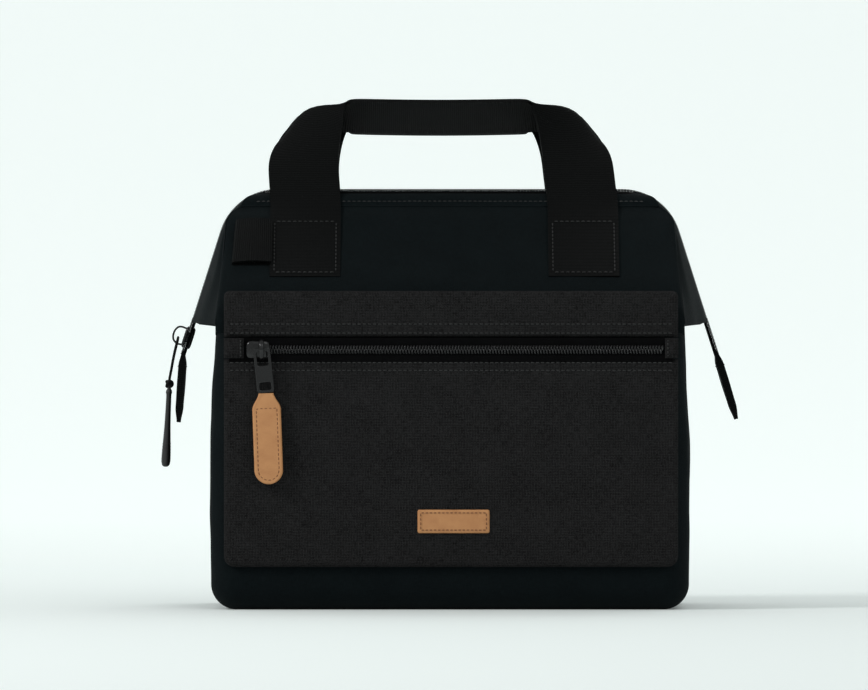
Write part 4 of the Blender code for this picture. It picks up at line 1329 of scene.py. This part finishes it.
def main_slider_pieces():
    up = Vector((sin(EDGE_LEAN), 0, cos(EDGE_LEAN)))
    out = Vector((-cos(EDGE_LEAN), 0, sin(EDGE_LEAN)))
    across = Vector((0, 1, 0))
    centre = edge_down(TIP_Z - 10.0 * MM)
    plate = slider_body("main_slider_plate", centre, up, across, out, 6.0 * MM, 4.6 * MM, 0.3 * MM,
        "main_slider")
    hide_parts("main_slider")
    slider_body("main_slider_back", centre - out * 1.6 * MM, up, across, -out, 6.0 * MM, 4.6 * MM, 0.3 * MM,
        "main_slider")
    rings = [oval(centre + out * d * MM, up, across, 3.0 * MM, 0.42 * MM, 12) for d in (-1.9, 0.4)]
    solid_from_rings("main_slider_post", rings, "metal", "slider_metal", "main_slider")
    arch = [(-4.6, 1.6), (-4.9, 3.4), (-4.7, 5.0), (-3.4, 6.8), (-1.2, 7.6), (1.6, 7.5), (3.9, 6.4),
        (4.7, 4.6), (4.5, 1.6)]
    route = resample([centre + up * a * MM + out * n * MM for a, n in arch], 40)
    bail = flat_strand("main_bail", smooth_route(route, 3), 1.5 * MM, 1.1 * MM, across)
    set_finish(bail, "slider_metal")
    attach(bail, "main_slider")
    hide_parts("main_slider_bail")


def smooth_route(points, passes):
    array = np.array([tuple(p) for p in points])
    for _ in range(passes):
        array[1:-1] = (array[:-2] + 2 * array[1:-1] + array[2:]) / 4
    return [Vector(p) for p in array]


def flat_strand(name, points, wide, thick, across, material="metal"):
    """A strand with an oval section that is wide along across."""
    verts, faces, uvs = [], [], []
    sides = 12
    for i, point in enumerate(points):
        along = (points[min(i + 1, len(points) - 1)] - points[max(i - 1, 0)]).normalized()
        other = along.cross(across).normalized()
        for k in range(sides):
            a = 2 * pi * k / sides
            verts.append(point + across * cos(a) * wide / 2 + other * sin(a) * thick / 2)
            uvs.append((a * wide, i * thick))
    for i in range(len(points) - 1):
        for k in range(sides):
            a, b = i * sides + k, i * sides + (k + 1) % sides
            faces.append((a, b, b + sides, a + sides))
    faces.append(tuple(reversed(range(sides))))
    faces.append(tuple((len(points) - 1) * sides + k for k in range(sides)))
    return make_piece(name, verts, faces, uvs, material)


PULL_LOOP = ((-4.6, -1.1, -22.2), (-3.7, -1.3, -17.5), (-2.4, -2.6, -10.5), (-1.0, -3.3, -4.4),
             (-0.2, -2.4, -1.2), (0.0, 0.0, 0.0), (-0.2, 2.4, -1.2), (-1.0, 3.3, -4.4),
             (-2.4, 2.6, -10.5), (-3.7, 1.3, -17.5), (-4.6, 1.1, -22.2))


def catmull(points, steps):
    knots = [Vector(p) for p in points]
    padded = [2 * knots[0] - knots[1]] + knots + [2 * knots[-1] - knots[-2]]
    route = []
    for a, b, c, d in zip(padded, padded[1:], padded[2:], padded[3:]):
        for k in range(steps):
            t = k / steps
            route.append(0.5 * (2 * b + (c - a) * t + (2 * a - 5 * b + 4 * c - d) * t**2
                                + (3 * b - a - 3 * c + d) * t**3))
    return route + [knots[-1]]


def main_pull():
    axis = joint_at("pull_loop_hinge")
    buried = [(-4.8, -0.7, -24.8)], [(-4.8, 0.7, -24.8)]
    knots = buried[0] + list(PULL_LOOP) + buried[1]
    route = catmull([axis + Vector(p) * MM for p in knots], 8)
    loop = round_cord("pull_loop", route, 0.7 * MM, "cord", 10)
    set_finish(loop, "pull_cord")
    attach(loop, "pull_loop")
    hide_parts("pull_cord")
    low, high = (Vector(c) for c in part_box("pull_knot"))
    centre = (low + high) / 2
    turns = []
    for i in range(90):
        a = i / 89 * 2 * pi * 2.0
        b = i / 89 * 2 * pi * 3.0
        wide = (1.35 + 0.55 * cos(b)) * MM
        turns.append(centre + Vector((wide * cos(a) * 0.95, wide * sin(a), 1.5 * MM * sin(b))))
    knot = round_cord("pull_knot_turns", turns, 0.74 * MM, "cord", 10)
    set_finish(knot, "pull_cord")
    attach(knot, "main_pull")
    core = solid_from_rings("pull_knot_core",
        [oval(centre + Vector((0, 0, z * MM)), Vector((1, 0, 0)), Vector((0, 1, 0)),
                            r * MM, r * MM, 16, 2.0) for z,
                                r in ((-2.3, 0.6), (-1.4, 1.6), (0, 2.0), (1.4, 1.6), (2.3, 0.6))],
                            "cord", "pull_cord", "main_pull")
    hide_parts("pull_knot")
    low, high = (Vector(c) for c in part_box("pull_grip"))
    stations = ((-1.9, 0.7, 0.8), (-0.6, 1.0, 1.2), (0.0, 1.2, 1.5), (0.5, 1.55, 2.0), (1.6, 1.75, 2.3),
        (2.6, 1.45, 2.0), (3.6, 1.4, 2.0), (12.0, 1.5, 2.2),
                (20.0, 1.7, 2.6), (28.0, 2.1, 3.1), (35.0, 2.45, 3.5), (39.0, 2.5, 3.6), (41.0, 2.1, 3.1),
                    (41.8, 1.3, 2.2),
                (42.0, 0.6, 1.2))
    top = Vector((axis.x - 4.9 * MM, 0, high.z))
    rings = []
    for length, rx, ry in stations:
        middle = top + Vector((-0.045 * length * MM, 0, -length * MM))
        rings.append(oval(middle, Vector((1, 0, 0)), Vector((0, 1, 0)), rx * MM, ry * MM, 24, 2.3))
    grip = solid_from_rings("pull_grip_moulded", rings, "rubber", "pull_rubber", "main_pull", sharp=1.2)
    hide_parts("pull_grip")
    ridges = []
    for k in range(6):
        length = 29.5 + 1.6 * k
        middle = top + Vector((-0.045 * length * MM, 0, -length * MM))
        grow = 2.1 + 0.03 * k
        ring = oval(middle, Vector((1, 0, 0)), Vector((0, 1, 0)), (grow + 0.12) * MM, (grow + 1.1) * MM, 28,
            2.3)
        ridges.append(round_cord(f"r{k}", ring + [ring[0]], 0.22 * MM, "rubber", 6))
    ribs = join_pieces("pull_grip_ribs", [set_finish(r, "pull_rubber") for r in ridges])
    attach(ribs, "main_pull")


def pocket_hardware():
    centre = Vector((-102.7 * MM, -80.0 * MM, ZIP_Z))
    along, across = Vector((1, 0, 0)), Vector((0, 0, 1))
    plate = slider_body("pocket_slider_plate", centre, along, across, OUT, 6.4 * MM, 5.4 * MM, 0.35 * MM,
        "pocket_slider")
    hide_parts("pocket_slider")
    slider_body("pocket_slider_back", centre - OUT * 1.7 * MM, along, across, -OUT, 6.2 * MM, 4.0 * MM,
        0.25 * MM,
                "pocket_slider")
    rings = [oval(centre + OUT * d * MM, along, across, 3.0 * MM, 0.42 * MM, 12) for d in (-2.0, 0.5)]
    solid_from_rings("pocket_slider_post", rings, "metal", "slider_metal", "pocket_slider")
    face = -83.0 * MM
    arch = [(-5.0, 1.2), (-5.2, -0.8), (-4.4, -2.6), (-2.4, -3.8), (0.0, -4.2), (2.4, -3.8), (4.4, -2.6),
        (5.2, -0.8), (5.0, 1.2)]
    route = resample([Vector((centre.x + 2.0 * MM, face + y * MM, ZIP_Z + z * MM)) for z, y in arch], 40)
    bail = flat_strand("pocket_bail", smooth_route(route, 3), 2.4 * MM, 1.1 * MM, Vector((1, 0, 0)))
    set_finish(bail, "slider_metal")
    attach(bail, "pocket_slider")
    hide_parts("pocket_slider_bail")
    puller_plate()
    leather_pull()


def swung(axis, degrees):
    turn = Matrix.Rotation(degrees * pi / 180, 3, "Y")
    return lambda x, y, z: axis + turn @ Vector((x * MM, y * MM, z * MM))


def puller_plate():
    """Metal puller: a frame round the bail, a solid waist and a lower frame that the leather hangs in."""
    axis = joint_at("pocket_puller_hinge")
    place = swung(axis, -6.0)
    bm = bmesh.new()
    outline = rounded_points((-4.6, -23.2), (4.6, 1.0), 1.6)
    holes = [rounded_points((-3.0, -8.6), (3.0, -1.0), 1.0), rounded_points((-3.1, -21.6), (3.1, -17.6), 0.8)]
    loops = []
    for line in [outline] + holes:
        verts = [bm.verts.new(place(x, -0.8, z)) for x, z in line]
        loops += [bm.edges.new((a, b)) for a, b in zip(verts, verts[1:] + verts[:1])]
    bmesh.ops.triangle_fill(bm, edges=loops, use_beauty=True)
    front = list(bm.faces)
    made = bmesh.ops.extrude_face_region(bm, geom=front)
    moved = [v for v in made["geom"] if isinstance(v, bmesh.types.BMVert)]
    bmesh.ops.translate(bm, verts=moved, vec=Vector((0, 1.6 * MM, 0)))
    bmesh.ops.recalc_face_normals(bm, faces=bm.faces)
    mesh = bpy.data.meshes.new("puller")
    bm.to_mesh(mesh)
    bm.free()
    mesh.uv_layers.new(name="cloth")
    mesh.shade_smooth()
    mesh.set_sharp_from_angle(angle=0.5)
    mesh.materials.append(MATERIALS["metal"])
    piece = bpy.data.objects.new("puller_frame", mesh)
    bpy.context.scene.collection.objects.link(piece)
    bevelled(piece, 0.35 * MM)
    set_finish(piece, "slider_metal")
    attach(piece, "pocket_puller")
    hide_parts("pocket_puller")


def rounded_points(low, high, radius, steps=5):
    points = []
    for x, z, first in ((high[0], low[1], -90), (high[0], high[1], 0), (low[0], high[1], 90),
        (low[0], low[1], 180)):
        cx = x - radius if x == high[0] else x + radius
        cz = z - radius if z == high[1] else z + radius
        for k in range(steps + 1):
            a = (first + 90 * k / steps) * pi / 180
            points.append((cx + radius * cos(a), cz + radius * sin(a)))
    return points


def leather_pull():
    """Leather tab: a narrow neck through the frame, a long body with a round end, stitched all round."""
    axis = joint_at("leather_tab_hinge")
    place = swung(axis, -2.0)
    half_w, length = 7.65, 49.0

    def half_width(d):
        if d < 9.0:
            return 4.0 + (half_w - 4.0) * ease(d / 9.0)
        if d > length - half_w:
            return (half_w**2 - (d - length + half_w) ** 2) ** 0.5
        return half_w

    depths = [0.4 + (length - 0.45) * (i / 80) for i in range(81)]
    depths = depths[:-1] + [length - 0.35, length - 0.12, length - 0.02]
    sheets = {}
    for side in (-1, 1):
        grid = []
        for d in depths:
            wide = half_width(min(d, length - 0.001))
            row = []
            for j in range(25):
                share = sin((2 * j / 24 - 1) * pi / 2)
                edge = min(wide * (1 - abs(share)), length - d, d + 1.0)
                thick = 1.15 * (1 - (1 - min(1.0, edge / 0.9)) ** 2) ** 0.5
                groove = 0.16 * ease(1 - abs(edge - 2.1) / 0.45)
                bow = 0.35 * sin(pi * d / length)
                row.append(place(share * wide, side * (thick - groove) - bow, -d))
            grid.append(row)
        sheets[side] = grid
    front, back = np.array([[tuple(p) for p in r] for r in sheets[-1]]), np.array([[tuple(p) for p in r] for r in sheets[1]])
    rows, columns = front.shape[:2]
    verts = np.concatenate((front.reshape(-1, 3), back.reshape(-1, 3)))
    uv = np.array([((2 * j / 24 - 1) * 7.65 * MM, d * MM) for d in depths for j in range(25)])
    faces = []
    base = rows * columns
    for i in range(rows - 1):
        for j in range(columns - 1):
            a, b, c, d = i * columns + j, i * columns + j + 1, (i + 1) * columns + j + 1, (i + 1) * columns + j
            faces += [(a, d, c, b), (base + a, base + b, base + c, base + d)]
    rim = [(i, 0) for i in range(rows)] + [(rows - 1, j) for j in range(1, columns)]
    rim += [(i, columns - 1) for i in range(rows - 2, -1, -1)] + [(0, j) for j in range(columns - 2, 0, -1)]
    for (a, b), (c, d) in zip(rim, rim[1:] + rim[:1]):
        faces.append((a * columns + b, c * columns + d, base + c * columns + d, base + a * columns + b))
    tab = make_piece("leather_pull", verts, faces, np.concatenate((uv, uv)), "leather", sharp=1.1)
    clean(tab)
    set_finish(tab, "tan_leather")
    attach(tab, "leather_tab")
    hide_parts("leather_tab")
    outline = []
    inset = 2.1
    for d in np.linspace(8.5, length - half_w, 30):
        outline.append((half_width(d) - inset, d))
    for k in range(1, 24):
        a = pi * k / 24
        outline.append(((half_w - inset) * cos(a), length - half_w + (half_w - inset) * sin(a)))
    for d in np.linspace(length - half_w, 8.5, 30):
        outline.append((-(half_width(d) - inset), d))
    outline.append((half_width(8.5) - inset, 8.5))
    out = Vector((0, -1, 0))
    for face, side in (("front", -1), ("back", 1)):
        route = []
        for x, d in outline:
            bow = 0.35 * sin(pi * d / length)
            route.append((place(x, side * 1.02 - bow, -d), out * -side))
        stitch_row(f"leather_stitches_{face}", route, "tan_thread", "leather_tab", "tan_leather",
            pitch=2.3 * MM,
                   width=0.5 * MM, rise=0.12 * MM)


# ---- pieces carried over from the frame, with finished materials -------------------------------------------
def dress_frame():
    """CAD nodes that stay get their own finish."""
    for name, node in frame["nodes"].items():
        key = None
        if name.startswith("foam") or name.startswith("upper_foam"):
            key = "foam"
        elif name.startswith("liner") or name.startswith("upper_liner"):
            key = "liner"
        elif name.startswith("frame_wire"):
            key = "steel"
        elif name == "base_board":
            key = "board"
        if key:
            if key == "liner":
                flat_uv(node)
            for material_slot in node.material_slots:
                material_slot.material = MATERIALS[key]


def flat_uv(node):
    """Gives a carried-over node the cloth map, unrolled from its own places."""
    mesh = node.data
    layer = mesh.uv_layers.get("cloth") or mesh.uv_layers.new(name="cloth")
    for polygon in mesh.polygons:
        normal = polygon.normal
        for index in polygon.loop_indices:
            place = mesh.vertices[mesh.loops[index].vertex_index].co
            if abs(normal.y) > max(abs(normal.x), abs(normal.z)):
                layer.data[index].uv = (place.x, place.z)
            elif abs(normal.x) > abs(normal.z):
                layer.data[index].uv = (place.y, place.z)
            else:
                layer.data[index].uv = (place.x, place.y)


make_stage()
lower_shell()
for word in ("left", "right"):
    side_web(word)
    zip_tail(word)
for half in ("front", "back"):
    upper_panel(half)
    hem_strip(half)
    main_zip(half)
    for word in ("left", "right"):
        wing(half, word)
    handle(half)
accessory_loop()
tail_tab("left", 4.0)
tail_tab("right", 17.0)
pocket()
main_slider_pieces()
main_pull()
pocket_hardware()
dress_frame()
